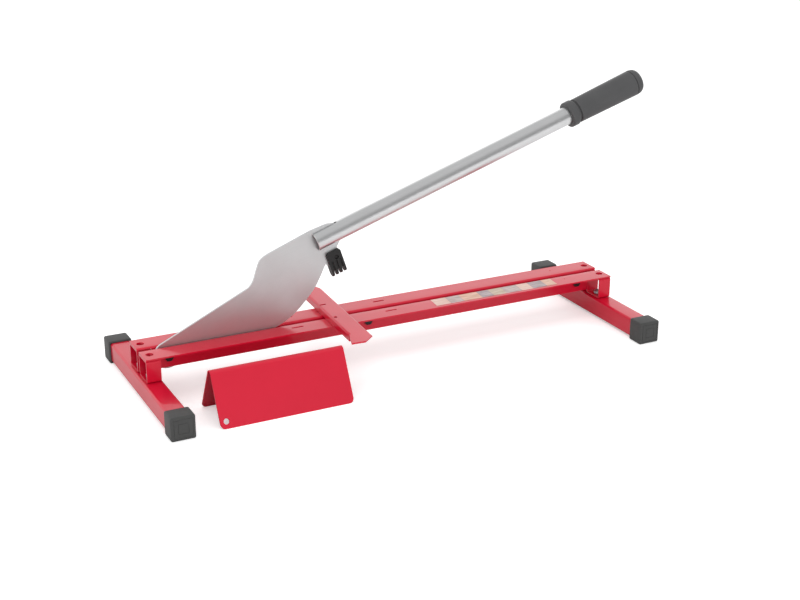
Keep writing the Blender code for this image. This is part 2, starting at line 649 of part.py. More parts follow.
def support_lean():
    """The angle of a leaf to the floor: from its foot it runs straight on to the round bend."""
    half = SUPPORT_SPREAD / 2
    bend_height = SUPPORT_HEIGHT - SUPPORT_BEND
    return math.atan2(bend_height, half) + math.asin(SUPPORT_BEND / math.hypot(half, bend_height))


def support_outline():
    """The bent sheet seen from its end, its feet on the floor."""
    lean = support_lean()
    swing = math.degrees(lean)

    def bent_line(inset):
        foot = SUPPORT_SPREAD / 2 - inset / math.sin(lean)
        bend = arc((0, SUPPORT_HEIGHT - SUPPORT_BEND), SUPPORT_BEND - inset, 90 - swing, 90 + swing,
                   2 * CORNER_STEPS)
        return [(foot, 0)] + bend + [(-foot, 0)]

    return bent_line(0) + bent_line(SUPPORT_SHEET)[::-1]


def board_support(bench):
    half = SUPPORT_LENGTH / 2
    sheet = prism("board_support", support_outline(), -half, half, "X")
    lean = support_lean()
    corner = half - SUPPORT_CORNER
    bite = half + CUT_OVERRUN
    hole = prism("hole", circle(SUPPORT_HOLE_DIAMETER / 2, SMALL_ROUND_STEPS),
                 -SUPPORT_SHEET - CUT_OVERRUN, CUT_OVERRUN)
    hole.location = (SUPPORT_HOLE_INSET - half, SUPPORT_HOLE_RISE * math.cos(lean) - SUPPORT_SPREAD / 2,
                     SUPPORT_HOLE_RISE * math.sin(lean))
    hole.rotation_euler.x = lean
    tools = [hole]
    for end in (-1, 1):
        round_off = arc((corner, SUPPORT_CORNER), SUPPORT_CORNER, 270, 360, 2 * CORNER_STEPS)
        outline = [(end * a, b) for a, b in round_off]
        outline += [(end * bite, SUPPORT_CORNER), (end * bite, -CUT_OVERRUN), (end * corner, -CUT_OVERRUN)]
        tools.append(prism("corner", outline, -SUPPORT_SPREAD, SUPPORT_SPREAD, "Y"))
    cut(sheet, *tools)
    finish(sheet, RED_COAT, bench, (SUPPORT_X, SUPPORT_Y, 0))


# The whole bench

def stand_on_origin(bench):
    """Move the bench so that its box is centred over the origin and its feet are on the floor."""
    bpy.context.view_layer.update()
    corners = [piece.matrix_world @ vertex.co for piece in bpy.data.objects if piece.type == "MESH"
               for vertex in piece.data.vertices]
    low = [min(corner[k] for corner in corners) for k in range(3)]
    high = [max(corner[k] for corner in corners) for k in range(3)]
    bench.location = (-(low[0] + high[0]) / 2, -(low[1] + high[1]) / 2, -low[2])


def laminate_cutter():
    bench = new_parent("bench")
    for end, x, post_x in (("left", 0, POST_MIDDLES[0]), ("right", FOOT_SPACING, POST_MIDDLES[1])):
        foot_bar("foot_bar_" + end, bench, x)
        for side_name, side in SIDES:
            place = end + "_" + side_name
            foot_cap("foot_cap_" + place, bench, x, side)
            post("post_" + place, bench, post_x, side)
            post_screw("post_screw_" + place, bench, post_x, side)
            post_nut("post_nut_" + place, bench, post_x, side)
    for side_name, side in SIDES:
        rail("rail_" + side_name, bench, side)
        pivot_washer("pivot_washer_" + side_name, bench, side)
    for place, x in (("pivot", PIVOT_X), ("mid", MID_BOLT_X), ("right", RIGHT_BOLT_X)):
        bolt_set(bench, place, x)
        if place != "pivot":
            slot_spacer("slot_spacer_" + place, bench, x)
    arm = new_parent("arm_pivot", bench, (PIVOT_X, 0, BOLT_Z))
    arm.rotation_euler.y = math.radians(-ARM_RAISE_DEGREES)
    blade(arm)
    handle_tube(arm)
    grip(arm)
    bumper(arm)
    board_stop(bench)
    board_support(bench)
    stand_on_origin(bench)


for thing in list(bpy.data.objects):
    bpy.data.objects.remove(thing)
laminate_cutter()
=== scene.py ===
import math

import bmesh
import bpy
from mathutils import Matrix, Vector


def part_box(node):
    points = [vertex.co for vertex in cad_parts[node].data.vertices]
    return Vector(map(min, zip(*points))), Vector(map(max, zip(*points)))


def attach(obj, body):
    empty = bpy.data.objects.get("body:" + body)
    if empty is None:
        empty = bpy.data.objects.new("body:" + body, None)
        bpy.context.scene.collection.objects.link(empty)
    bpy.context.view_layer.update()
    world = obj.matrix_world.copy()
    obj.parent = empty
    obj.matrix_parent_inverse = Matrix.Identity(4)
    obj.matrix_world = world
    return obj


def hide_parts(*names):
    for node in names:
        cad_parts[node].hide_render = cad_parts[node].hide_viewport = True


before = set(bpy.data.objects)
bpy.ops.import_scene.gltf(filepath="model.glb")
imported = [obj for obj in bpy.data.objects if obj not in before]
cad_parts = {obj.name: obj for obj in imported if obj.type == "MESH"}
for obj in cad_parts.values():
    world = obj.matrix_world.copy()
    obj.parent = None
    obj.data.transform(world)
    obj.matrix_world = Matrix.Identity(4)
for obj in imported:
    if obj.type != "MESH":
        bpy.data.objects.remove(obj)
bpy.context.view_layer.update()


# The studio. A white floor runs out to a white surround, and three wide soft lamps stand over, before
# and beside the bench. Gloss and metal don't show the lamps. They show the floor and the surround,
# which is white behind the bench and grey before and above it.

CAMERA_TARGET = Vector((-0.00959, -0.0117, 0.07045))
CAMERA_DISTANCE = 1.7965
CAMERA_AZIMUTH = -26.844
CAMERA_ELEVATION = 20.923
CAMERA_ROLL = 0.192
CAMERA_LENS = 62.67
FLOOR_SIZE = 12.0
FLOOR_COLOUR = (0.93, 0.93, 0.93)
FLOOR_BOUNCE = (0.52, 0.52, 0.52)
FLOOR_LIFT = 0.40
FLOOR_IN_METAL = (0.90, 0.90, 0.90)
HORIZON_DAYLIGHT = 0.55
ZENITH_DAYLIGHT = 0.85
FRONT_GREY = 0.34
BACK_WHITE = 1.3
HIGH_GREY = 0.62
BACK_TURN = (-0.35, 0.15)
HIGH_TURN = (0.42, 0.75)
DAYLIGHT_TURN = (-0.2, 1.0)
SOFT_LAMPS = (("lamp_over", (-0.1, 0.1, 1.9), (0, 0, 0), 2.2, 1.2, 6.0),
              ("lamp_front", (0.1, -2.0, 0.5), (0, 0, 0.1), 2.4, 0.8, 17.0),
              ("lamp_left", (-2.1, -0.3, 0.8), (0, 0, 0.1), 1.2, 1.2, 9.0))


def add_node(tree, kind, inputs=None, **settings):
    """Place a node; a socket given as an input is linked, anything else is set on it."""
    node = tree.nodes.new(kind)
    for name, value in settings.items():
        setattr(node, name, value)
    for name, value in (inputs or {}).items():
        if isinstance(value, bpy.types.NodeSocket):
            tree.links.new(value, node.inputs[name])
        else:
            node.inputs[name].default_value = value
    return node


def math_node(tree, operation, first, second=0.0, clamp=False):
    node = add_node(tree, "ShaderNodeMath", {0: first, 1: second}, operation=operation, use_clamp=clamp)
    return node.outputs[0]


def spread(tree, value, low, high, start=0.3, end=0.7, **settings):
    """Stretch a value to a range."""
    ends = {"Value": value, "From Min": start, "From Max": end, "To Min": low, "To Max": high}
    return add_node(tree, "ShaderNodeMapRange", ends, **settings).outputs[0]


def blend_values(tree, share, first, second):
    return add_node(tree, "ShaderNodeMix", {0: share, 2: first, 3: second}).outputs[0]


def blend_colours(tree, share, first, second):
    """A colour between two, or between a link and a colour."""
    ends = [end if isinstance(end, bpy.types.NodeSocket) else (*end, 1) for end in (first, second)]
    return add_node(tree, "ShaderNodeMix", {0: share, 6: ends[0], 7: ends[1]}, data_type="RGBA").outputs[2]


def new_material(name, roughness, metallic=0.0, gloss=0.5, coat=0.0, coat_roughness=0.1):
    material = bpy.data.materials.new(name)
    material.use_nodes = True
    shader = material.node_tree.nodes["Principled BSDF"]
    values = {"Roughness": roughness, "Metallic": metallic, "Specular IOR Level": gloss, "Coat Weight": coat,
              "Coat Roughness": coat_roughness}
    for label, value in values.items():
        shader.inputs[label].default_value = value
    return material, material.node_tree, shader


def square(half):
    return [(-half, -half), (half, -half), (half, half), (-half, half)]


def white_surround():
    world = bpy.data.worlds.new("white_surround")
    bpy.context.scene.world = world
    world.use_nodes = True
    tree = world.node_tree
    tree.nodes.clear()
    direction = add_node(tree, "ShaderNodeTexCoord").outputs["Generated"]
    split = add_node(tree, "ShaderNodeSeparateXYZ", {0: direction})
    soft = {"interpolation_type": "SMOOTHSTEP"}
    level = spread(tree, split.outputs["Y"], FRONT_GREY, BACK_WHITE, *BACK_TURN, **soft)
    high = spread(tree, split.outputs["Z"], 0.0, 1.0, *HIGH_TURN, **soft)
    daylight = spread(tree, split.outputs["Z"], HORIZON_DAYLIGHT, ZENITH_DAYLIGHT, *DAYLIGHT_TURN)
    ray = add_node(tree, "ShaderNodeLightPath")
    in_gloss = blend_values(tree, high, level, HIGH_GREY)
    indirect = blend_values(tree, ray.outputs["Is Glossy Ray"], daylight, in_gloss)
    straight = math_node(tree, "MAXIMUM", ray.outputs["Is Camera Ray"], ray.outputs["Is Transmission Ray"])
    strength = blend_values(tree, straight, indirect, 1.0)
    light = add_node(tree, "ShaderNodeBackground", {"Color": (1, 1, 1, 1), "Strength": strength})
    add_node(tree, "ShaderNodeOutputWorld", {"Surface": light.outputs[0]})


def white_floor():
    mesh = bpy.data.meshes.new("studio_floor")
    mesh.from_pydata([(x, y, 0) for x, y in square(FLOOR_SIZE / 2)], [], [(0, 1, 2, 3)])
    floor = bpy.data.objects.new("studio_floor", mesh)
    bpy.context.collection.objects.link(floor)
    material, tree, shader = new_material("white_floor", 0.9, gloss=0.0)
    ray = add_node(tree, "ShaderNodeLightPath")
    seen = ray.outputs["Is Camera Ray"]
    colour = blend_colours(tree, seen, FLOOR_BOUNCE, FLOOR_COLOUR)
    plain = blend_colours(tree, ray.outputs["Is Glossy Ray"], colour, FLOOR_IN_METAL)
    tree.links.new(plain, shader.inputs["Base Color"])
    lift = math_node(tree, "MULTIPLY", seen, FLOOR_LIFT)
    glow = add_node(tree, "ShaderNodeEmission", {"Color": (1, 1, 1, 1), "Strength": lift})
    both = add_node(tree, "ShaderNodeAddShader", {0: shader.outputs[0], 1: glow.outputs[0]})
    tree.links.new(both.outputs[0], tree.nodes["Material Output"].inputs["Surface"])
    mesh.materials.append(material)


def soft_lamp(name, place, aim, width, depth, power):
    lamp = bpy.data.lights.new(name, "AREA")
    lamp.shape = "RECTANGLE"
    lamp.size = width
    lamp.size_y = depth
    lamp.energy = power
    thing = bpy.data.objects.new(name, lamp)
    bpy.context.collection.objects.link(thing)
    thing.location = place
    thing.visible_glossy = False
    thing.rotation_euler = (Vector(place) - Vector(aim)).to_track_quat("Z", "Y").to_euler()


def studio_camera():
    azimuth, elevation, roll = (math.radians(a) for a in (CAMERA_AZIMUTH, CAMERA_ELEVATION, CAMERA_ROLL))
    back = Vector((math.sin(azimuth) * math.cos(elevation), -math.cos(azimuth) * math.cos(elevation),
                   math.sin(elevation)))
    right = Vector((math.cos(azimuth), math.sin(azimuth), 0))
    up = back.cross(right)
    turned_right = right * math.cos(roll) + up * math.sin(roll)
    turned_up = up * math.cos(roll) - right * math.sin(roll)
    lens = bpy.data.cameras.new("studio_camera")
    lens.lens = CAMERA_LENS
    lens.sensor_width = 36.0
    lens.clip_start = 0.01
    camera = bpy.data.objects.new("studio_camera", lens)
    bpy.context.collection.objects.link(camera)
    turn = Matrix((turned_right, turned_up, back)).transposed().to_4x4()
    camera.matrix_world = Matrix.Translation(CAMERA_TARGET + back * CAMERA_DISTANCE) @ turn
    bpy.context.scene.camera = camera


white_surround()
white_floor()
for values in SOFT_LAMPS:
    soft_lamp(*values)
studio_camera()
bpy.context.scene.view_settings.view_transform = "Standard"


# Foot bars. Two lengths of 25 mm square steel tube with rounded corners lie front to back under the
# ends of the rails. They are sprayed with gloss red powder coat, as is all the sheet metal here.

CORNER_STEPS = 8
FOOT_CORNER = 0.003
FOOT_WALL = 0.0018
EDGE_ROUNDING = 0.0003
EDGE_CONTRAST = 9.0
COAT_RED = (0.66, 0.006, 0.034)
COAT_RED_DEEP = (0.58, 0.004, 0.027)
# The brighter red of the painted highlight along sharp edges.
COAT_EDGE_HIGHLIGHT = (0.72, 0.012, 0.045)
ENDS = ("left", "right")


def arc(middle, radius, start, end, steps):
    angles = [math.radians(start + (end - start) * i / steps) for i in range(steps + 1)]
    return [(middle[0] + radius * math.cos(a), middle[1] + radius * math.sin(a)) for a in angles]


def rounded_rectangle(width, height, radius, steps=CORNER_STEPS):
    x = width / 2 - radius
    y = height / 2 - radius
    corners = (((x, -y), -90), ((x, y), 0), ((-x, y), 90), ((-x, -y), 180))
    return [point for middle, start in corners for point in arc(middle, radius, start, start + 90, steps)]


def along(axis, across, up, depth):
    places = {"X": (depth, across, up), "Y": (across, depth, up), "Z": (across, up, depth)}
    return places[axis]


def new_piece(name, maker, smooth_angle=30):
    mesh = bpy.data.meshes.new(name)
    bmesh.ops.recalc_face_normals(maker, faces=maker.faces)
    maker.to_mesh(mesh)
    maker.free()
    piece = bpy.data.objects.new(name, mesh)
    bpy.context.collection.objects.link(piece)
    mesh.shade_smooth()
    mesh.set_sharp_from_angle(angle=math.radians(smooth_angle))
    return piece


def add_rings(maker, rings, closed=False):
    rows = [[maker.verts.new(point) for point in ring] for ring in rings]
    pairs = list(zip(rows, rows[1:])) + ([(rows[-1], rows[0])] if closed else [])
    for lower, upper in pairs:
        for i in range(len(lower)):
            j = (i + 1) % len(lower)
            maker.faces.new((lower[i], lower[j], upper[j], upper[i]))
    return rows


def hollow_prism(name, outer, inner, start, end, axis):
    maker = bmesh.new()
    loops = ((outer, start), (outer, end), (inner, end), (inner, start))
    rings = [[along(axis, a, b, place) for a, b in outline] for outline, place in loops]
    add_rings(maker, rings, closed=True)
    return new_piece(name, maker)


def soften(piece, width=EDGE_ROUNDING, segments=2, angle=40):
    """Take the sharpness off a piece's folded and cut edges."""
    rounding = piece.modifiers.new("soft_edges", "BEVEL")
    rounding.width = width
    rounding.segments = segments
    rounding.limit_method = "ANGLE"
    rounding.angle_limit = math.radians(angle)
    rounding.harden_normals = True
    rounding.miter_outer = "MITER_ARC"
    return piece


def new_group(name, inputs, outputs):
    group = bpy.data.node_groups.new(name, "ShaderNodeTree")
    for label, kind, value in inputs:
        socket = group.interface.new_socket(label, in_out="INPUT", socket_type=kind)
        socket.default_value = value
    for label, kind in outputs:
        group.interface.new_socket(label, in_out="OUTPUT", socket_type=kind)
    return group, group.nodes.new("NodeGroupInput"), group.nodes.new("NodeGroupOutput")


def surface_ripple():
    """The slow orange-peel ripple and the fine grain of a sprayed or moulded skin."""
    group, given, result = new_group("Surface Ripple", (("Ripple Scale", "NodeSocketFloat", 500.0),
                                                        ("Grain Scale", "NodeSocketFloat", 3000.0),
                                                        ("Grain Share", "NodeSocketFloat", 0.3)),
                                     (("Height", "NodeSocketFloat"), ("Tone", "NodeSocketFloat")))
    place = add_node(group, "ShaderNodeTexCoord").outputs["Object"]
    ripple = add_node(group, "ShaderNodeTexNoise", {"Vector": place, "Scale": given.outputs["Ripple Scale"],
                                                    "Detail": 1.0, "Roughness": 0.4})
    grain = add_node(group, "ShaderNodeTexNoise", {"Vector": place, "Scale": given.outputs["Grain Scale"],
                                                   "Detail": 2.0, "Roughness": 0.6})
    height = blend_values(group, given.outputs["Grain Share"], ripple.outputs[0], grain.outputs[0])
    drift_scale = math_node(group, "MULTIPLY", given.outputs["Ripple Scale"], 0.04)
    drift = add_node(group, "ShaderNodeTexNoise", {"Vector": place, "Scale": drift_scale, "Detail": 4.0,
                                                   "Roughness": 0.55})
    group.links.new(height, result.inputs["Height"])
    group.links.new(drift.outputs[0], result.inputs["Tone"])
    return group


def painted_edge_highlight():
    """A mask for a painted highlight where the surface turns sharply, from how far the rounded normal leans
    from the flat one, broken into patches.
    """
    group, given, result = new_group("Painted Edge Highlight", (("Reach", "NodeSocketFloat", 0.0008),
                                                   ("Breakup Scale", "NodeSocketFloat", 300.0)),
                                     (("Mask", "NodeSocketFloat"),))
    place = add_node(group, "ShaderNodeTexCoord").outputs["Object"]
    rounded = add_node(group, "ShaderNodeBevel", {"Radius": given.outputs["Reach"]}, samples=4)
    flat = add_node(group, "ShaderNodeNewGeometry").outputs["Normal"]
    likeness = add_node(group, "ShaderNodeVectorMath", {0: rounded.outputs[0], 1: flat},
                        operation="DOT_PRODUCT").outputs["Value"]
    lean = math_node(group, "SUBTRACT", 1.0, likeness)
    edge = math_node(group, "MULTIPLY", lean, EDGE_CONTRAST, clamp=True)
    noise = add_node(group, "ShaderNodeTexNoise", {"Vector": place, "Scale": given.outputs["Breakup Scale"],
                                                   "Detail": 3.0})
    broken = spread(group, noise.outputs[0], 0.0, 1.0, 0.35, 0.65)
    group.links.new(math_node(group, "MULTIPLY", edge, broken, clamp=True), result.inputs["Mask"])
    return group


RIPPLE = surface_ripple()
EDGE_HIGHLIGHT = painted_edge_highlight()


def skin_of(tree, ripple, grain, share):
    """The height and the tone of a sprayed or moulded skin."""
    scales = {"Ripple Scale": ripple, "Grain Scale": grain, "Grain Share": share}
    skin = add_node(tree, "ShaderNodeGroup", scales, node_tree=RIPPLE)
    return skin.outputs["Height"], skin.outputs["Tone"]


def paint_edge_highlight(tree, body, reach, share, bright):
    """A colour with a painted highlight where the surface turns sharply."""
    edge = add_node(tree, "ShaderNodeGroup", {"Reach": reach}, node_tree=EDGE_HIGHLIGHT)
    return blend_colours(tree, math_node(tree, "MULTIPLY", edge.outputs["Mask"], share), body, bright)


def dress(tree, shader, colour, roughness, height, strength, distance=0.0002):
    relief = add_node(tree, "ShaderNodeBump", {"Height": height, "Strength": strength, "Distance": distance})
    for label, value in (("Base Color", colour), ("Roughness", roughness), ("Normal", relief.outputs[0])):
        tree.links.new(value, shader.inputs[label])


def powder_coat():
    material, tree, shader = new_material("red_powder_coat", 0.3, gloss=0.3, coat=0.45, coat_roughness=0.07)
    height, tone = skin_of(tree, ripple=420.0, grain=2600.0, share=0.15)
    body = blend_colours(tree, spread(tree, tone, 0.0, 1.0, 0.0, 1.0), COAT_RED, COAT_RED_DEEP)
    # Painted highlight: sharp edges turn a brighter red.
    colour = paint_edge_highlight(tree, body, reach=0.0007, share=0.4, bright=COAT_EDGE_HIGHLIGHT)
    dress(tree, shader, colour, spread(tree, tone, 0.29, 0.38, 0.0, 1.0), height, 0.035, 0.0004)
    return material


RED_COAT = powder_coat()


def fit(piece, material, body, nodes=(), location=None):
    """Give a piece its finish and its place on the body that carries it."""
    piece.data.materials.clear()
    piece.data.materials.append(material)
    if location is not None:
        piece.location = location
    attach(piece, body)
    if nodes:
        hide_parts(*nodes)
    return piece


for end in ENDS:
    low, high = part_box("foot_bar_" + end)
    size = high - low
    inside = size.x - 2 * FOOT_WALL
    outer = rounded_rectangle(size.x, size.z, FOOT_CORNER)
    inner = rounded_rectangle(inside, inside, FOOT_CORNER - FOOT_WALL)
    bar = hollow_prism("foot_tube_" + end, outer, inner, -size.y / 2, size.y / 2, "Y")
    soften(bar)
    fit(bar, RED_COAT, "bench", ["foot_bar_" + end], (low + high) / 2)


# Foot caps. Charcoal plastic boots moulded with a soft edge, pushed over the tube ends. Two square
# frames stand in low relief on each end face, where the mould's plate was.

CAP_ROUNDING = 0.0024
CAP_END_WALL = 0.0025
FRAME_SHARES = (0.78, 0.44)
FRAME_LINE = 0.0009
FRAME_RELIEF = 0.0004
CAP_GREY = (0.046, 0.046, 0.045)
CAP_GREY_PALE = (0.075, 0.075, 0.074)
CAP_FIT = 0.000225
CAP_EDGE = 0.0002
CUT_OVERRUN = 0.004
SIDES = (("front", -1), ("back", 1))


def prism(name, outline, start, end, axis="Z", smooth_angle=30):
    maker = bmesh.new()
    rows = add_rings(maker, [[along(axis, a, b, place) for a, b in outline] for place in (start, end)])
    maker.faces.new(rows[0])
    maker.faces.new(rows[-1])
    return new_piece(name, maker, smooth_angle)


def combine(piece, operation, tools, smooth_angle=30):
    """Cut or join a piece with tools that share its frame, and use them up."""
    for tool in tools:
        change = piece.modifiers.new("shape", "BOOLEAN")
        change.operation = operation
        change.object = tool
    bpy.context.view_layer.update()
    shaped = bpy.data.meshes.new_from_object(piece.evaluated_get(bpy.context.evaluated_depsgraph_get()))
    plain = piece.data
    piece.modifiers.clear()
    piece.data = shaped
    bpy.data.meshes.remove(plain)
    shaped.name = piece.name
    shaped.shade_smooth()
    shaped.set_sharp_from_angle(angle=math.radians(smooth_angle))
    for tool in tools:
        bpy.data.meshes.remove(tool.data)
    return piece


def cut(piece, *tools):
    return combine(piece, "DIFFERENCE", tools)


def join(piece, *tools):
    return combine(piece, "UNION", tools)


def moulded_plastic():
    material, tree, shader = new_material("charcoal_plastic", 0.6)
    height, tone = skin_of(tree, ripple=700.0, grain=2200.0, share=0.7)
    body = blend_colours(tree, spread(tree, tone, 0.0, 0.5), CAP_GREY, CAP_GREY_PALE)
    # Painted highlight: sharp edges turn the paler grey.
    colour = paint_edge_highlight(tree, body, reach=0.0012, share=0.5, bright=CAP_GREY_PALE)
    dress(tree, shader, colour, spread(tree, tone, 0.5, 0.66), height, 0.25, 0.0003)
    return material


CAP_PLASTIC = moulded_plastic()


def foot_cap(end, side_name, side):
    node = "foot_cap_" + end + "_" + side_name
    low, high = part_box(node)
    size = high - low
    maker = bmesh.new()
    bmesh.ops.create_cube(maker, size=1)
    bmesh.ops.scale(maker, vec=size, verts=maker.verts)
    bmesh.ops.bevel(maker, geom=maker.edges[:], offset=CAP_ROUNDING, segments=5, profile=0.5, affect="EDGES")
    cap = new_piece("foot_boot_" + end + "_" + side_name, maker)
    tube_low, tube_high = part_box("foot_bar_" + end)
    socket = (tube_high.x - tube_low.x) / 2 + CAP_FIT
    reach = size.y / 2
    ends = sorted((-side * (reach + CUT_OVERRUN), side * (reach - CAP_END_WALL)))
    tools = [prism("socket", square(socket), ends[0], ends[1], "Y")]
    for share in FRAME_SHARES:
        outer = square(size.x / 2 * share)
        inner = square(size.x / 2 * share - FRAME_LINE)
        face = sorted((side * (reach - FRAME_RELIEF), side * (reach + CUT_OVERRUN)))
        tools.append(hollow_prism("frame_line", outer, inner, face[0], face[1], "Y"))
    cut(cap, *tools)
    soften(cap, CAP_EDGE, angle=50)
    fit(cap, CAP_PLASTIC, "bench", [node], (low + high) / 2)


for end in ENDS:
    for side_name, side in SIDES:
        foot_cap(end, side_name, side)


# Posts. Four short slices of rectangular tube stand on the foot bars and carry the rails. They are
# open to left and right, and a screw inside each one holds it down to its foot bar.

POST_CORNER = 0.003
POST_WALL = 0.002
SCREW_HEAD_ROUNDING = 0.0012
SCREW_HOLE = 0.0066
ACCESS_HOLE = 0.0095
KEY_WIDTH = 0.005
KEY_DEPTH = 0.0022
SHEET_EDGE = 0.00025
SCREW_EDGE = 0.00015
SEAT_GAP = 0.0003
END_CHAMFER = 0.2
ROUND_STEPS = 48


def circle(radius, steps=ROUND_STEPS, middle=(0, 0)):
    return arc(middle, radius, 0, 360, steps)[:-1]


def hexagon(width):
    return circle(width / math.sqrt(3), 6)


def turned(name, profile, axis, steps=ROUND_STEPS, smooth_angle=30):
    """A turned solid; the profile is (place along the axis, radius), from end face to end face."""
    maker = bmesh.new()
    rings = [[along(axis, a, b, place) for a, b in circle(radius, steps)] for place, radius in profile]
    rows = add_rings(maker, rings)
    maker.faces.new(rows[0])
    maker.faces.new(rows[-1])
    return new_piece(name, maker, smooth_angle)


def plated_steel(name, colour, dark, roughness, metallic):
    """Small plated or blackened steel parts: a slightly cloudy skin, with a painted highlight on its edges.
    """
    material, tree, shader = new_material(name, roughness, metallic)
    height, tone = skin_of(tree, ripple=900.0, grain=4000.0, share=0.3)
    body = blend_colours(tree, spread(tree, tone, 0.0, 1.0), dark, colour)
    # Painted highlight: sharp edges turn to a brighter copy of the colour.
    bright = tuple(min(1.0, 2.2 * c) for c in colour)
    edge_lit = paint_edge_highlight(tree, body, reach=0.0004, share=0.5, bright=bright)
    dress(tree, shader, edge_lit, spread(tree, tone, roughness - 0.06, roughness + 0.08), height, 0.12)
    return material


ZINC = plated_steel("zinc_plate", (0.55, 0.56, 0.57), (0.40, 0.41, 0.42), 0.34, 1.0)
BLACK_STEEL = plated_steel("blackened_steel", (0.014, 0.013, 0.013), (0.008, 0.008, 0.008), 0.45, 0.3)


def post(end, side_name):
    place = end + "_" + side_name
    low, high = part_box("post_" + place)
    size = high - low
    tube = hollow_prism("post_tube_" + place, rounded_rectangle(size.y, size.z, POST_CORNER),
                        rounded_rectangle(size.y - 2 * POST_WALL, size.z - 2 * POST_WALL,
                                          POST_CORNER - POST_WALL), -size.x / 2, size.x / 2, "X")
    cut(tube, prism("screw_hole", circle(SCREW_HOLE / 2), -size.z, 0),
        prism("access_hole", circle(ACCESS_HOLE / 2), 0, size.z))
    soften(tube, SHEET_EDGE)
    fit(tube, RED_COAT, "bench", ["post_" + place], (low + high) / 2)


def post_screw(end, side_name):
    place = end + "_" + side_name
    low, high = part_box("post_screw_" + place)
    radius = (high.x - low.x) / 2
    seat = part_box("post_" + place)[0].z + POST_WALL + SEAT_GAP
    middle = (low + high) / 2
    height = high.z - seat
    shank = SCREW_HOLE / 2 - SEAT_GAP
    point = shank * (1 - END_CHAMFER)
    profile = [(low.z - seat, point), (low.z - seat + shank - point, shank), (0, shank), (0, radius)]
    rounding = SCREW_HEAD_ROUNDING
    profile += arc((height - rounding, radius - rounding), rounding, 90, 0, 6)
    screw = turned("screw_" + place, profile, "Z")
    cut(screw, prism("key", hexagon(KEY_WIDTH), height - KEY_DEPTH, height + CUT_OVERRUN))
    soften(screw, SCREW_EDGE)
    fit(screw, ZINC, "bench", ["post_screw_" + place], (middle.x, middle.y, seat))


for end in ENDS:
    for side_name, side in SIDES:
        post(end, side_name)
        post_screw(end, side_name)


# Rails. Two angles folded from 2 mm sheet lie side by side, each with a deep flange along the blade's
# slot and a free outer edge. Their webs run on over the posts, where a round hole lets a key in.

RAIL_SHEET = 0.002
RAIL_BEND = 0.003
BOLT_HOLE = 0.0066
PUNCH_LENGTH = 0.0164
PUNCH_WIDTH = 0.0031
PUNCH_OFFSET = 0.0024
PUNCH_PLACES = (0.193, 0.243, 0.3233)
DIMPLE_PLACE = 0.589
DIMPLE_OFFSET = 0.003
DIMPLE_WIDTH = 0.0022
RAIL_LOW, RAIL_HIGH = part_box("rail_front")
RAIL_TOP = RAIL_HIGH.z
RAIL_WIDTH = RAIL_HIGH.y - RAIL_LOW.y
FLANGE_DEPTH = RAIL_HIGH.z - RAIL_LOW.z
CAP_LOW, CAP_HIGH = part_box("foot_cap_left_front")
BENCH = Vector(((CAP_LOW.x + CAP_HIGH.x) / 2, (RAIL_HIGH.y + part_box("rail_back")[0].y) / 2, 0))
RAIL_START = RAIL_LOW.x - BENCH.x
RAIL_END = RAIL_HIGH.x - BENCH.x


def folded_angle(side):
    """The end of a sheet with its edge at the slot folded down, its top at zero."""
    half = RAIL_WIDTH / 2
    bend = arc((half - RAIL_BEND, -RAIL_BEND), RAIL_BEND, 90, 0, CORNER_STEPS)
    inside = arc((half - RAIL_BEND, -RAIL_BEND), RAIL_BEND - RAIL_SHEET, 0, 90, CORNER_STEPS)
    foot = [(half, -FLANGE_DEPTH), (half - RAIL_SHEET, -FLANGE_DEPTH)]
    outline = [(-half, 0)] + bend + foot + inside + [(-half, -RAIL_SHEET)]
    return [(-side * a, b) for a, b in outline]


def block(name, low, high):
    outline = [(low[0], low[1]), (high[0], low[1]), (high[0], high[1]), (low[0], high[1])]
    return prism(name, outline, low[2], high[2])


def slot_outline(x, y, length, width):
    """A punched slot with round ends."""
    half = (length - width) / 2
    right = arc((x + half, y), width / 2, -90, 90, CORNER_STEPS)
    return right + arc((x - half, y), width / 2, 90, 270, CORNER_STEPS)


def node_middle(node):
    low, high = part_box(node)
    return (low + high) / 2


def rail(side_name, side):
    node = "rail_" + side_name
    sheet = prism("angle_" + side_name, folded_angle(side), RAIL_START, RAIL_END, "X")
    tools = []
    for end in ENDS:
        post_low, post_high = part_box("post_" + end + "_front")
        start = post_low.x - BENCH.x - SEAT_GAP
        stop = post_high.x - BENCH.x + SEAT_GAP
        tools.append(block("post_relief", (start, -RAIL_WIDTH, -FLANGE_DEPTH - CUT_OVERRUN),
                           (stop, RAIL_WIDTH, -RAIL_SHEET)))
        outline = circle(ACCESS_HOLE / 2, ROUND_STEPS, ((start + stop) / 2, 0))
        tools.append(prism("access_hole", outline, -RAIL_SHEET - CUT_OVERRUN, CUT_OVERRUN))
    for bolt in ("pivot_bolt", "cross_bolt_mid", "cross_bolt_right"):
        middle = node_middle(bolt)
        outline = circle(BOLT_HOLE / 2, ROUND_STEPS, (middle.x - BENCH.x, middle.z - RAIL_TOP))
        tools.append(prism("bolt_hole", outline, -RAIL_WIDTH, RAIL_WIDTH, "Y"))
    for x in PUNCH_PLACES:
        outline = slot_outline(x, PUNCH_OFFSET, PUNCH_LENGTH, PUNCH_WIDTH)
        tools.append(prism("punched_slot", outline, -RAIL_SHEET - CUT_OVERRUN, CUT_OVERRUN))
    dimple = circle(DIMPLE_WIDTH / 2, ROUND_STEPS, (DIMPLE_PLACE, DIMPLE_OFFSET))
    tools.append(prism("dimple", dimple, -RAIL_SHEET / 2, CUT_OVERRUN))
    cut(sheet, *tools)
    soften(sheet, SHEET_EDGE)
    y = node_middle(node).y
    fit(sheet, RED_COAT, "bench", [node], (BENCH.x, y, RAIL_TOP))


for side_name, side in SIDES:
    rail(side_name, side)


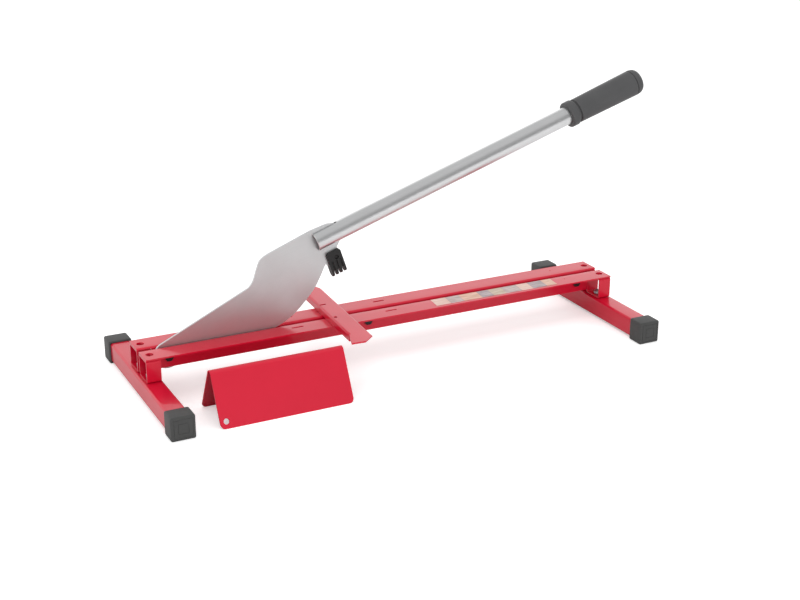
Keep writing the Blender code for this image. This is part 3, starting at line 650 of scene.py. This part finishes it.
# Cross bolts. Three blackened M6 hexagon bolts go through both flanges, with nuts behind. The left one
# is the blade's pivot. The zinc-plated spacers and washers on them stay mostly hidden.

HEX_WIDTH = 0.010
HEX_CHAMFER = 0.0009
BOLT_RADIUS = 0.003
THREAD_PITCH = 0.001
THREAD_DEPTH = 0.0004
THREAD_RUN = 6
HEX_FLAT_SHARE = 0.97
BOLT_EDGE = 0.0001


def chamfered_hexagon(name, start, end, chamfer_start, chamfer_end):
    """A hexagon bar cut to length, its corners turned away at one end or both."""
    bar = prism(name, hexagon(HEX_WIDTH), start, end, "Y")
    corner = HEX_WIDTH / math.sqrt(3) + HEX_CHAMFER / 2
    flat = HEX_WIDTH / 2 * HEX_FLAT_SHARE
    profile = [(start, flat if chamfer_start else corner), (start + HEX_CHAMFER, corner),
               (end - HEX_CHAMFER, corner), (end, flat if chamfer_end else corner)]
    combine(bar, "INTERSECT", [turned("chamfer", profile, "Y", 96)])
    return bar


def cross_bolt(bolt_node, nut_node):
    low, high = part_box(bolt_node)
    middle = (low + high) / 2
    nut_low, nut_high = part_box(nut_node)
    head_end = RAIL_HIGH.y - RAIL_SHEET - SEAT_GAP - middle.y
    bolt = chamfered_hexagon(bolt_node + "_steel", low.y - middle.y, head_end, True, False)
    thread_start = nut_low.y - middle.y - THREAD_RUN * THREAD_PITCH
    tail = high.y - middle.y
    profile = [(head_end - HEX_CHAMFER, BOLT_RADIUS), (thread_start, BOLT_RADIUS)]
    turns = int((tail - thread_start) / THREAD_PITCH)
    for i in range(turns):
        start = thread_start + i * THREAD_PITCH
        profile += [(start + THREAD_PITCH * 0.3, BOLT_RADIUS - THREAD_DEPTH),
                    (start + THREAD_PITCH * 0.8, BOLT_RADIUS)]
    profile += [(tail, BOLT_RADIUS - THREAD_DEPTH)]
    join(bolt, turned("shank", profile, "Y"))
    soften(bolt, BOLT_EDGE)
    fit(bolt, BLACK_STEEL, "bench", [bolt_node], middle)
    half = (nut_high.y - nut_low.y) / 2
    nut = chamfered_hexagon(nut_node + "_steel", -half, half, True, True)
    cut(nut, prism("bore", circle(BOLT_HOLE / 2), -half - CUT_OVERRUN, half + CUT_OVERRUN, "Y"))
    soften(nut, BOLT_EDGE)
    fit(nut, BLACK_STEEL, "bench", [nut_node], (nut_low + nut_high) / 2)


for bolt_node, nut_node in (("pivot_bolt", "pivot_nut"), ("cross_bolt_mid", "cross_nut_mid"),
                            ("cross_bolt_right", "cross_nut_right")):
    cross_bolt(bolt_node, nut_node)
for name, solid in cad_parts.items():
    if name.startswith(("slot_spacer", "pivot_washer", "post_nut")):
        solid.data.materials.clear()
        solid.data.materials.append(ZINC)


# Lever blade. A 3 mm steel plate, laser cut and satin ground on its faces, with its cutting edge
# ground to a bevel behind. Its heel turns on the pivot bolt and its tang is welded into the handle.

ARM_RAISE = math.radians(18.5)
BLADE_THICKNESS = 0.003
BLADE_REACH = 0.2234
BLADE_BELLY = 0.0342
HEEL_RADIUS = 0.0170
HANDLE_RISE = 0.0463
TUBE_RADIUS = 0.012
TANG_DEPTH = 0.032
TANG_PROUD = 0.0052
TANG_NECK = 0.0015
BUMPER_START = 0.0065
BUMPER_DROP = 0.0205
BUMPER_WIDTH = 0.020
TAB_WALL = 0.002
TAB_HEIGHT = 0.0175
PIN_INSET = 0.0078
PIN_DROP = 0.0091
PIN_HOLE = 0.0056
GROUND_WIDTH = 0.0035
GRIND_RAMP = 0.35
EDGE_LAND = 0.0006
SHORTEST_EDGE = 0.000001
PLATE_EDGE = 0.00015
LINE_DEPTH = 0.015
# The near-white of the painted highlight on bare steel edges.
STEEL_EDGE_HIGHLIGHT = (0.9, 0.9, 0.9)
CURVE_STEPS = 12
BACK_RISER_SHARES = ((0.552, 0.493), (0.5905, 0.5818), (0.6373, 0.7934), (0.6716, 0.9189),
                     (0.7246, 0.959))
BACK_CREST_SHARES = ((0.9969, 1.0), (1.0967, 0.9761))
BELLY_SHARES = ((0.3057, -0.6375), (0.525, -0.9618), (0.6279, -1.0), (0.7246, -0.8881),
                (0.814, -0.6464), (0.9168, -0.2368), (1.0125, 0.3711))
PIVOT = node_middle("pivot_washer_front")
ARM_PLACE = Matrix.Translation((PIVOT.x, BENCH.y, PIVOT.z)) @ Matrix.Rotation(-ARM_RAISE, 4, "Y")


def smooth_line(points, steps):
    """A smooth curve through points, leaving its ends straight."""
    path = [points[0]] + list(points) + [points[-1]]
    line = []
    for before, start, end, after in zip(path, path[1:], path[2:], path[3:]):
        for i in range(steps):
            t = i / steps
            weights = (-t + 2 * t**2 - t**3, 2 - 5 * t**2 + 3 * t**3, t + 4 * t**2 - 3 * t**3, t**3 - t**2)
            near = (before, start, end, after)
            line.append(tuple(sum(w * p[k] for w, p in zip(weights, near)) / 2 for k in (0, 1)))
    return line + [tuple(points[-1])]


def heel_tangent(point, turn):
    """The angle, in degrees, at which a straight edge from a point touches the round heel."""
    distance = math.hypot(*point)
    return math.degrees(math.atan2(point[1], point[0]) + turn * math.acos(HEEL_RADIUS / distance))


def blade_outline():
    """The plate's outline, and how far each point is ground back on the far face."""
    top = HANDLE_RISE + TUBE_RADIUS + TANG_PROUD
    tang_end = BLADE_REACH + TANG_DEPTH
    tab_left = BLADE_REACH + BUMPER_START
    tab_right = tab_left + BUMPER_WIDTH - TAB_WALL - SEAT_GAP
    tab_top = HANDLE_RISE - BUMPER_DROP
    tab_bottom = tab_top - TAB_HEIGHT
    back = smooth_line([(a * BLADE_REACH, b * top) for a, b in BACK_RISER_SHARES], CURVE_STEPS)
    crest = [(a * BLADE_REACH, b * top) for a, b in BACK_CREST_SHARES]
    belly = smooth_line([(a * BLADE_REACH, b * BLADE_BELLY) for a, b in BELLY_SHARES], CURVE_STEPS)
    heel = arc((0, 0), HEEL_RADIUS, heel_tangent(back[0], 1), 360 + heel_tangent(belly[0], -1), ROUND_STEPS)
    tab = [(tab_left, tab_bottom), (tab_right, tab_bottom), (tab_right, tab_top + TANG_NECK),
           (tang_end, HANDLE_RISE - TUBE_RADIUS), (tang_end, HANDLE_RISE + TUBE_RADIUS)]
    last = len(belly) - 1
    ground = [min(1.0, GRIND_RAMP * i, GRIND_RAMP * (last - i)) for i in range(len(belly))]
    outline = heel + belly + tab + crest[::-1] + back[::-1]
    grinds = [0.0] * len(heel) + ground + [0.0] * (len(outline) - len(heel) - len(belly))
    return outline, grinds


def ground_back(outline, grinds):
    """The outline drawn inwards where it is ground."""
    moved = []
    for i, (x, y) in enumerate(outline):
        before = outline[i - 1]
        after = outline[(i + 1) % len(outline)]
        run = Vector((after[0] - before[0], after[1] - before[1])).normalized()
        moved.append((x - run.y * GROUND_WIDTH * grinds[i], y + run.x * GROUND_WIDTH * grinds[i]))
    return moved


def drawn_grain():
    """Long fine lines left by rolling, drawing or grinding, running along one axis of the piece."""
    group, given, result = new_group("Drawn Grain", (("Line Scale", "NodeSocketFloat", 900.0),
                                                     ("Stretch", "NodeSocketVector", (0.02, 1.0, 1.0))),
                                     (("Lines", "NodeSocketFloat"), ("Cloud", "NodeSocketFloat")))
    place = add_node(group, "ShaderNodeTexCoord").outputs["Object"]
    drawn = add_node(group, "ShaderNodeVectorMath", {0: place, 1: given.outputs["Stretch"]},
                     operation="MULTIPLY").outputs[0]
    lines = add_node(group, "ShaderNodeTexNoise", {"Vector": drawn, "Scale": given.outputs["Line Scale"],
                                                   "Detail": 3.0, "Roughness": 0.65})
    cloud_scale = math_node(group, "MULTIPLY", given.outputs["Line Scale"], 0.02)
    cloud = add_node(group, "ShaderNodeTexNoise", {"Vector": place, "Scale": cloud_scale, "Detail": 5.0,
                                                   "Roughness": 0.6})
    group.links.new(lines.outputs[0], result.inputs["Lines"])
    group.links.new(cloud.outputs[0], result.inputs["Cloud"])
    return group


GRAIN = drawn_grain()


def grain_of(tree, line_scale, stretch):
    grain = add_node(tree, "ShaderNodeGroup", {"Line Scale": line_scale, "Stretch": stretch}, node_tree=GRAIN)
    return grain.outputs["Lines"], grain.outputs["Cloud"]


def bare_steel(name, bright, dark, metallic, roughness, line_scale, stretch):
    """Uncoated steel with its grain showing, a little cloudy, with a painted highlight on its edges."""
    material, tree, shader = new_material(name, roughness, metallic)
    lines, cloud = grain_of(tree, line_scale, stretch)
    body = blend_colours(tree, spread(tree, cloud, 0.0, 0.6), bright, dark)
    lined = blend_colours(tree, spread(tree, lines, 0.0, 0.35), body, dark)
    colour = paint_edge_highlight(tree, lined, reach=0.0005, share=0.4, bright=STEEL_EDGE_HIGHLIGHT)
    clouded = spread(tree, cloud, roughness - 0.03, roughness + 0.04)
    uneven = math_node(tree, "ADD", spread(tree, lines, -0.015, 0.02), clouded)
    dress(tree, shader, colour, uneven, lines, LINE_DEPTH)
    return material


BLADE_STEEL = bare_steel("satin_blade_steel", (0.68, 0.685, 0.69), (0.62, 0.625, 0.63), metallic=0.85,
                         roughness=0.42, line_scale=1400.0, stretch=(0.03, 1.0, 1.0))


def lever_blade():
    outline, grinds = blade_outline()
    half = BLADE_THICKNESS / 2
    maker = bmesh.new()
    layers = ((outline, -half), (outline, EDGE_LAND - half), (ground_back(outline, grinds), half))
    rows = add_rings(maker, [[along("Y", a, b, place) for a, b in line] for line, place in layers])
    maker.faces.new(rows[0])
    maker.faces.new(rows[-1])
    bmesh.ops.dissolve_degenerate(maker, edges=maker.edges[:], dist=SHORTEST_EDGE)
    plate = new_piece("lever_plate", maker)
    pin = (BLADE_REACH + BUMPER_START + BUMPER_WIDTH - PIN_INSET, HANDLE_RISE - BUMPER_DROP - PIN_DROP)
    cut(plate, prism("pivot_hole", circle(BOLT_HOLE / 2), -CUT_OVERRUN, CUT_OVERRUN, "Y"),
        prism("pin_hole", circle(PIN_HOLE / 2, ROUND_STEPS, pin), -CUT_OVERRUN, CUT_OVERRUN, "Y"))
    soften(plate, PLATE_EDGE)
    plate.matrix_world = ARM_PLACE
    fit(plate, BLADE_STEEL, "arm", ["blade"])


lever_blade()


# Handle tube. Bright drawn steel tube, 24 mm across, slotted at its near end so that it slides over
# the blade's tang, and welded there along the slot.

TUBE_WALL = 0.0015
TUBE_LENGTH = 0.496
TUBE_SLOT_LENGTH = 0.035
TUBE_LIP = 0.0004
TUBE_STEPS = 96
TUBE_STEEL = bare_steel("drawn_tube_steel", (0.80, 0.805, 0.81), (0.725, 0.73, 0.735), metallic=1.0,
                        roughness=0.33, line_scale=1100.0, stretch=(0.015, 1.0, 1.0))


def handle_tube():
    inner = TUBE_RADIUS - TUBE_WALL
    maker = bmesh.new()
    profile = [(0, inner), (0, TUBE_RADIUS - TUBE_LIP), (TUBE_LIP, TUBE_RADIUS),
               (TUBE_LENGTH - TUBE_LIP, TUBE_RADIUS), (TUBE_LENGTH, TUBE_RADIUS - TUBE_LIP),
               (TUBE_LENGTH, inner)]
    rings = [[along("X", a, b, place) for a, b in circle(radius, TUBE_STEPS)] for place, radius in profile]
    add_rings(maker, rings, closed=True)
    tube = new_piece("lever_tube", maker)
    half = BLADE_THICKNESS / 2 + SEAT_GAP
    slot = [(-CUT_OVERRUN, -half)] + arc((TUBE_SLOT_LENGTH - half, 0), half, -90, 90, CORNER_STEPS)
    slot += [(-CUT_OVERRUN, half)]
    cut(tube, prism("tang_slot", slot, -2 * TUBE_RADIUS, 2 * TUBE_RADIUS))
    tube.matrix_world = ARM_PLACE @ Matrix.Translation((BLADE_REACH, 0, HANDLE_RISE))
    fit(tube, TUBE_STEEL, "arm", ["handle_tube"])


handle_tube()


# Grip. A black rubber sleeve pushed over the tube's far end, with a collar to stop the hand, a
# narrow neck behind it, a body that swells towards the end, and a seam where its end cap is moulded on.

GRIP_DEPTH = 0.111
GRIP_COLLAR_LENGTH = 0.012
GRIP_COLLAR_RADIUS = 0.0173
GRIP_COLLAR_ROUNDING = 0.0022
GRIP_GROOVE_LENGTH = 0.003
GRIP_GROOVE_RADIUS = 0.0138
GRIP_NECK_RADIUS = 0.0162
GRIP_BODY_LENGTH = 0.0928
GRIP_BODY_RADIUS = 0.0174
GRIP_DOME_LENGTH = 0.009
GRIP_DOME_INSET = 0.005
GRIP_SEAM_WIDTH = 0.0016
GRIP_SEAM_DEPTH = 0.0016
GRIP_NECK_ROUNDING = GRIP_COLLAR_ROUNDING / 3
GRIP_SMOOTH_ANGLE = 50
GRIP_BLACK = (0.068, 0.068, 0.070)
GRIP_BLACK_PALE = (0.088, 0.088, 0.090)


def soft_rubber(name, dark, pale):
    material, tree, shader = new_material(name, 0.5, gloss=0.35)
    height, tone = skin_of(tree, ripple=300.0, grain=2400.0, share=0.6)
    body = blend_colours(tree, spread(tree, tone, 0.0, 1.0), dark, pale)
    # Painted highlight: sharp edges turn twice as pale.
    colour = paint_edge_highlight(tree, body, reach=0.001, share=0.4, bright=tuple(2 * c for c in pale))
    dress(tree, shader, colour, spread(tree, tone, 0.38, 0.52), height, 0.2)
    return material


GRIP_RUBBER = soft_rubber("grip_rubber", GRIP_BLACK, GRIP_BLACK_PALE)


def hand_grip():
    bore = TUBE_RADIUS + SEAT_GAP
    rounding = GRIP_COLLAR_ROUNDING
    crest = GRIP_COLLAR_RADIUS - rounding
    groove = GRIP_GROOVE_LENGTH / 2
    neck = GRIP_NECK_ROUNDING
    body_start = GRIP_COLLAR_LENGTH + GRIP_GROOVE_LENGTH
    body_end = body_start + GRIP_BODY_LENGTH
    seam = body_end - GRIP_SEAM_WIDTH
    profile = [(GRIP_DEPTH + SEAT_GAP, bore), (0, bore)]
    profile += arc((rounding, crest), rounding, 180, 90, 6)
    profile += arc((GRIP_COLLAR_LENGTH - rounding, crest), rounding, 90, 0, 6)
    profile += arc((GRIP_COLLAR_LENGTH + groove, GRIP_GROOVE_RADIUS + groove), groove, 180, 360, 8)
    profile += arc((body_start + neck, GRIP_NECK_RADIUS - neck), neck, 180, 90, 4)
    profile += [(seam - GRIP_SEAM_WIDTH / 2, GRIP_BODY_RADIUS), (seam, GRIP_BODY_RADIUS - GRIP_SEAM_DEPTH),
                (seam + GRIP_SEAM_WIDTH / 2, GRIP_BODY_RADIUS)]
    for x, y in arc((0, 0), 1, 90, 0, 12):
        profile.append((body_end + GRIP_DOME_LENGTH * x, GRIP_BODY_RADIUS - GRIP_DOME_INSET * (1 - y)))
    sleeve = turned("hand_grip", profile, "X", TUBE_STEPS, GRIP_SMOOTH_ANGLE)
    place = (BLADE_REACH + TUBE_LENGTH - GRIP_DEPTH, 0, HANDLE_RISE)
    sleeve.data.transform(ARM_PLACE @ Matrix.Translation(place))
    fit(sleeve, GRIP_RUBBER, "arm", ["grip"])


hand_grip()


# Bumper. A black rubber block straddles the tab of the blade and is held by a pin. Four fins under
# it soften the blow when the handle comes down on the board stop.

BUMPER_THICKNESS = 0.0104
BUMPER_HEAD_HEIGHT = 0.0125
BUMPER_CORNER = 0.0035
BUMPER_CORE_HEIGHT = 0.013
BUMPER_CORE_THICKNESS = 0.007
FIN_COUNT = 4
FIN_THICKNESS = 0.0028
FIN_HEIGHT = 0.021
BUMPER_EDGE = 0.0005
PIN_RADIUS = 0.0025
PIN_SUNK = 0.001
BUMPER_BLACK = (0.010, 0.010, 0.010)
BUMPER_BLACK_PALE = (0.020, 0.020, 0.020)
BUMPER_RUBBER = soft_rubber("bumper_rubber", BUMPER_BLACK, BUMPER_BLACK_PALE)


def bumper():
    half_width = BUMPER_WIDTH / 2
    half = BUMPER_THICKNESS / 2
    outline = arc((half_width - BUMPER_CORNER, -BUMPER_CORNER), BUMPER_CORNER, 0, 90, CORNER_STEPS)
    outline += arc((BUMPER_CORNER - half_width, -BUMPER_CORNER), BUMPER_CORNER, 90, 180, CORNER_STEPS)
    outline += [(-half_width, -BUMPER_HEAD_HEIGHT), (half_width, -BUMPER_HEAD_HEIGHT)]
    head = prism("landing_bumper", outline, -half, half, "Y")
    core_half = BUMPER_CORE_THICKNESS / 2
    core_inset = half_width - FIN_THICKNESS / 2
    core = block("core", (-core_inset, -core_half, -BUMPER_HEAD_HEIGHT - BUMPER_CORE_HEIGHT),
                 (core_inset, core_half, -BUMPER_HEAD_HEIGHT / 2))
    fin_top = BUMPER_CORNER - BUMPER_HEAD_HEIGHT
    fin_bottom = -BUMPER_HEAD_HEIGHT - FIN_HEIGHT
    fin_outline = [(-half, fin_top)] + arc((0, fin_bottom + half), half, 180, 360, 3 * CORNER_STEPS)
    fin_outline += [(half, fin_top)]
    pitch = (BUMPER_WIDTH - FIN_THICKNESS) / (FIN_COUNT - 1)
    fins = []
    for i in range(FIN_COUNT):
        left = -half_width + i * pitch
        fins.append(prism("fin", fin_outline, left, left + FIN_THICKNESS, "X"))
    join(head, core, *fins)
    slot_half = BLADE_THICKNESS / 2 + SEAT_GAP
    pin_place = (half_width - PIN_INSET, -PIN_DROP)
    cut(head,
        block("tab_slot", (-BUMPER_WIDTH, -slot_half, -TAB_HEIGHT - SEAT_GAP),
              (half_width - TAB_WALL, slot_half, CUT_OVERRUN)),
        prism("pin_hole", circle(PIN_HOLE / 2, ROUND_STEPS, pin_place), -2 * half, 2 * half, "Y"))
    soften(head, BUMPER_EDGE, 3)
    place = (BLADE_REACH + BUMPER_START + half_width, 0, HANDLE_RISE - BUMPER_DROP)
    head.matrix_world = ARM_PLACE @ Matrix.Translation(place)
    fit(head, BUMPER_RUBBER, "arm", ["bumper"])
    pin_half = half - PIN_SUNK
    chamfer = PIN_RADIUS * END_CHAMFER
    profile = [(-pin_half, PIN_RADIUS - chamfer), (-pin_half + chamfer, PIN_RADIUS),
               (pin_half - chamfer, PIN_RADIUS), (pin_half, PIN_RADIUS - chamfer)]
    pin = turned("tab_pin", profile, "Y")
    pin.matrix_world = ARM_PLACE @ Matrix.Translation((place[0] + pin_place[0], 0, place[2] + pin_place[1]))
    fit(pin, BLACK_STEEL, "arm", ["bumper_pin"])


bumper()


# Board stop. A length of sheet folded down along both sides, its right corners cut off, laid across
# the rails with a tongue in each rail's punched slot. At the front it is left flat and a little
# wider, and it lifts out by hand.

STOP_SHEET = 0.002
STOP_BEND = 0.003
STOP_WIDTH = 0.026
STOP_LENGTH = 0.1995
STOP_HEIGHT = 0.0093
STOP_TURN = math.radians(-3.2)
STOP_PLACE = (0.2478, -0.016)
STOP_FRONT_CUT = 0.0148
STOP_EAR_WIDTH = 0.0075
STOP_EAR_LENGTH = 0.027
STOP_BACK_CUT_WIDTH = 0.005
STOP_BACK_CUT_LENGTH = 0.011
TONGUE_WIDTH = 0.008
TONGUE_SHEET = 0.002
TONGUE_REACH = 0.002
NOTCH_WIDTH = 0.003
STOP_HOLE = (0.0075, 0.0125)
STOP_HOLE_SIZE = (0.004, 0.005)


def folded_channel(width, depth, sheet, bend):
    """The end of a sheet folded down along both sides, its top at zero."""
    half = width / 2
    inner_half = half - sheet
    inner_bend = bend - sheet
    outer = arc((half - bend, -bend), bend, 0, 90, CORNER_STEPS)
    outer += arc((bend - half, -bend), bend, 90, 180, CORNER_STEPS)
    inner = arc((inner_bend - inner_half, -bend), inner_bend, 180, 90, CORNER_STEPS)
    inner += arc((inner_half - inner_bend, -bend), inner_bend, 90, 0, CORNER_STEPS)
    feet = [(-half, -depth), (-inner_half, -depth)]
    return outer + feet + inner + [(inner_half, -depth), (half, -depth)]


def stop_corner(side, width, length):
    """A cutter that takes one right-hand corner off the stop, run past it on both sides."""
    x = STOP_WIDTH / 2
    y = STOP_LENGTH / 2
    slope = length / width
    outline = [(x - width - CUT_OVERRUN / slope, y + CUT_OVERRUN), (x + CUT_OVERRUN, y + CUT_OVERRUN),
               (x + CUT_OVERRUN, y - length - CUT_OVERRUN * slope)]
    outline = [(a, side * b) for a, b in outline]
    return prism("corner_cut", outline, -STOP_HEIGHT - CUT_OVERRUN, CUT_OVERRUN)


def board_stop():
    half_width = STOP_WIDTH / 2
    half_length = STOP_LENGTH / 2
    turn = Matrix.Rotation(STOP_TURN, 2)
    sheet = prism("stop_sheet", folded_channel(STOP_WIDTH, STOP_HEIGHT, STOP_SHEET, STOP_BEND),
                  -half_length, half_length, "Y")
    flange_end = STOP_EAR_LENGTH - half_length
    cut(sheet, block("flange_relief", (-STOP_WIDTH, -STOP_LENGTH, -STOP_HEIGHT - CUT_OVERRUN),
                     (STOP_WIDTH, flange_end, -STOP_SHEET)))
    ear = prism("ear", [(-half_width - STOP_EAR_WIDTH, -half_length), (0, -half_length), (0, flange_end),
                        (-half_width, flange_end)], -STOP_SHEET, 0)
    tongue_bottom = -STOP_HEIGHT - SEAT_GAP - RAIL_SHEET - TONGUE_REACH
    tongues = []
    notches = []
    for side_name, side in SIDES:
        rail_y = node_middle("rail_" + side_name).y - BENCH.y
        x, y = turn.inverted() @ (Vector((PUNCH_PLACES[1], rail_y + PUNCH_OFFSET)) - Vector(STOP_PLACE))
        low = (x - TONGUE_WIDTH / 2, y - TONGUE_SHEET / 2, tongue_bottom)
        high = (x + TONGUE_WIDTH / 2, y + TONGUE_SHEET / 2, -STOP_SHEET / 2)
        tongues.append(block("tongue", low, high))
        if side > 0:
            notches.append(block("notch", (low[0], low[1] - NOTCH_WIDTH, -STOP_SHEET - CUT_OVERRUN / 2),
                                 (high[0], low[1], CUT_OVERRUN)))
    join(sheet, ear, *tongues)
    x, y = -STOP_HOLE[0], -STOP_HOLE[1]
    half_hole = (STOP_HOLE_SIZE[0] / 2, STOP_HOLE_SIZE[1] / 2)
    cut(sheet,
        stop_corner(-1, STOP_FRONT_CUT, STOP_FRONT_CUT),
        stop_corner(1, STOP_BACK_CUT_WIDTH, STOP_BACK_CUT_LENGTH),
        block("small_hole", (x - half_hole[0], y - half_hole[1], -STOP_SHEET - CUT_OVERRUN),
              (x + half_hole[0], y + half_hole[1], CUT_OVERRUN)), *notches)
    soften(sheet)
    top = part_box("board_stop")[1].z
    place = Matrix.Translation((BENCH.x + STOP_PLACE[0], BENCH.y + STOP_PLACE[1], top))
    sheet.matrix_world = place @ Matrix.Rotation(STOP_TURN, 4, "Z")
    fit(sheet, RED_COAT, "stop", ["board_stop"])


board_stop()


# Board support. A sheet bent to an upside-down V with rounded corners, standing loose in front of
# the rails at their height. A small hole goes through its front leaf. Its face is left plain.

SUPPORT_SHEET = 0.002
SUPPORT_BEND = 0.006
SUPPORT_CORNER = 0.006
SUPPORT_HOLE_RADIUS = 0.0035
SUPPORT_HOLE_INSET = 0.0081
SUPPORT_HOLE_RISE = 0.0088


def board_support():
    low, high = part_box("board_support")
    length, spread_y, height = high - low
    half = length / 2
    bend_height = height - SUPPORT_BEND
    tuck = math.asin(SUPPORT_BEND / math.hypot(spread_y / 2, bend_height))
    lean = math.atan2(bend_height, spread_y / 2) + tuck
    swing = math.degrees(lean)

    def bent_line(inset):
        foot = spread_y / 2 - inset / math.sin(lean)
        bend = arc((0, bend_height), SUPPORT_BEND - inset, 90 - swing, 90 + swing, 3 * CORNER_STEPS)
        return [(foot, 0)] + bend + [(-foot, 0)]

    sheet = prism("support_sheet", bent_line(0) + bent_line(SUPPORT_SHEET)[::-1], -half, half, "X")
    corner = half - SUPPORT_CORNER
    bite = half + CUT_OVERRUN
    hole = prism("hole", circle(SUPPORT_HOLE_RADIUS), -SUPPORT_SHEET - CUT_OVERRUN, CUT_OVERRUN)
    hole.location = (SUPPORT_HOLE_INSET - half, SUPPORT_HOLE_RISE * math.cos(lean) - spread_y / 2,
                     SUPPORT_HOLE_RISE * math.sin(lean))
    hole.rotation_euler.x = lean
    tools = [hole]
    for end in (-1, 1):
        outline = [(end * a, b) for a, b in arc((corner, SUPPORT_CORNER), SUPPORT_CORNER, 270, 360, 12)]
        outline += [(end * bite, SUPPORT_CORNER), (end * bite, -CUT_OVERRUN), (end * corner, -CUT_OVERRUN)]
        tools.append(prism("corner", outline, -spread_y, spread_y, "Y"))
    cut(sheet, *tools)
    soften(sheet)
    middle = (low + high) / 2
    fit(sheet, RED_COAT, "bench", ["board_support"], (middle.x, middle.y, 0))


board_support()


# Rail label. A thin printed film stuck on top of the front rail, in a row of nearly square-cut panels
# in rosy cream, straw, stone, slate and moss. It carries no words or pictures, only bands of ink.

LABEL_START = 0.386
LABEL_END = 0.569
LABEL_FRONT = -0.0285
LABEL_BACK = -0.0062
LABEL_SLANT = -0.002
LABEL_FILM = 0.00012
LABEL_PANELS = (("cream", 1.1), ("stone", 1.0), ("straw", 1.4), ("slate", 0.9), ("moss", 1.0), ("stone", 1.2),
                ("cream", 0.9), ("slate", 1.1), ("straw", 0.8))
LABEL_INKS = {"cream": ((0.66, 0.38, 0.30), (0.78, 0.52, 0.43)),
              "moss": ((0.40, 0.28, 0.16), (0.60, 0.47, 0.35)),
              "slate": ((0.20, 0.12, 0.13), (0.46, 0.36, 0.38)),
              "stone": ((0.34, 0.20, 0.18), (0.56, 0.44, 0.42)),
              "straw": ((0.56, 0.27, 0.15), (0.77, 0.45, 0.31))}


def printed_film(name, dark, pale):
    """Glossy printed film: soft bands of ink across each panel under a clear layer."""
    material, tree, shader = new_material("label_" + name, 0.35, coat=0.4, coat_roughness=0.15)
    lines, cloud = grain_of(tree, 420.0, (0.12, 1.0, 1.0))
    inked = blend_colours(tree, spread(tree, lines, 0.0, 1.0, 0.38, 0.62), dark, pale)
    dress(tree, shader, inked, spread(tree, cloud, 0.28, 0.42), cloud, 0.05)
    return material


def rail_label():
    total = sum(width for ink, width in LABEL_PANELS)
    inks = sorted(LABEL_INKS)
    maker = bmesh.new()
    place = LABEL_START
    gap = LABEL_FILM * 2
    for ink, width in LABEL_PANELS:
        run = (LABEL_END - LABEL_SLANT - LABEL_START) * width / total
        corners = [(place, LABEL_BACK), (place + LABEL_SLANT, LABEL_FRONT),
                   (place + run - gap + LABEL_SLANT, LABEL_FRONT), (place + run - gap, LABEL_BACK)]
        rows = add_rings(maker, [[(x, y, z) for x, y in corners] for z in (0, LABEL_FILM)])
        faces = [maker.faces.new(rows[0]), maker.faces.new(rows[1])]
        for face in faces + [face for vertex in rows[0] for face in vertex.link_faces]:
            face.material_index = inks.index(ink)
        place += run
    label = new_piece("rail_label", maker)
    for name in inks:
        label.data.materials.append(printed_film(name, *LABEL_INKS[name]))
    label.location = (BENCH.x, BENCH.y, RAIL_TOP + LABEL_FILM / 2)
    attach(label, "bench")


rail_label()
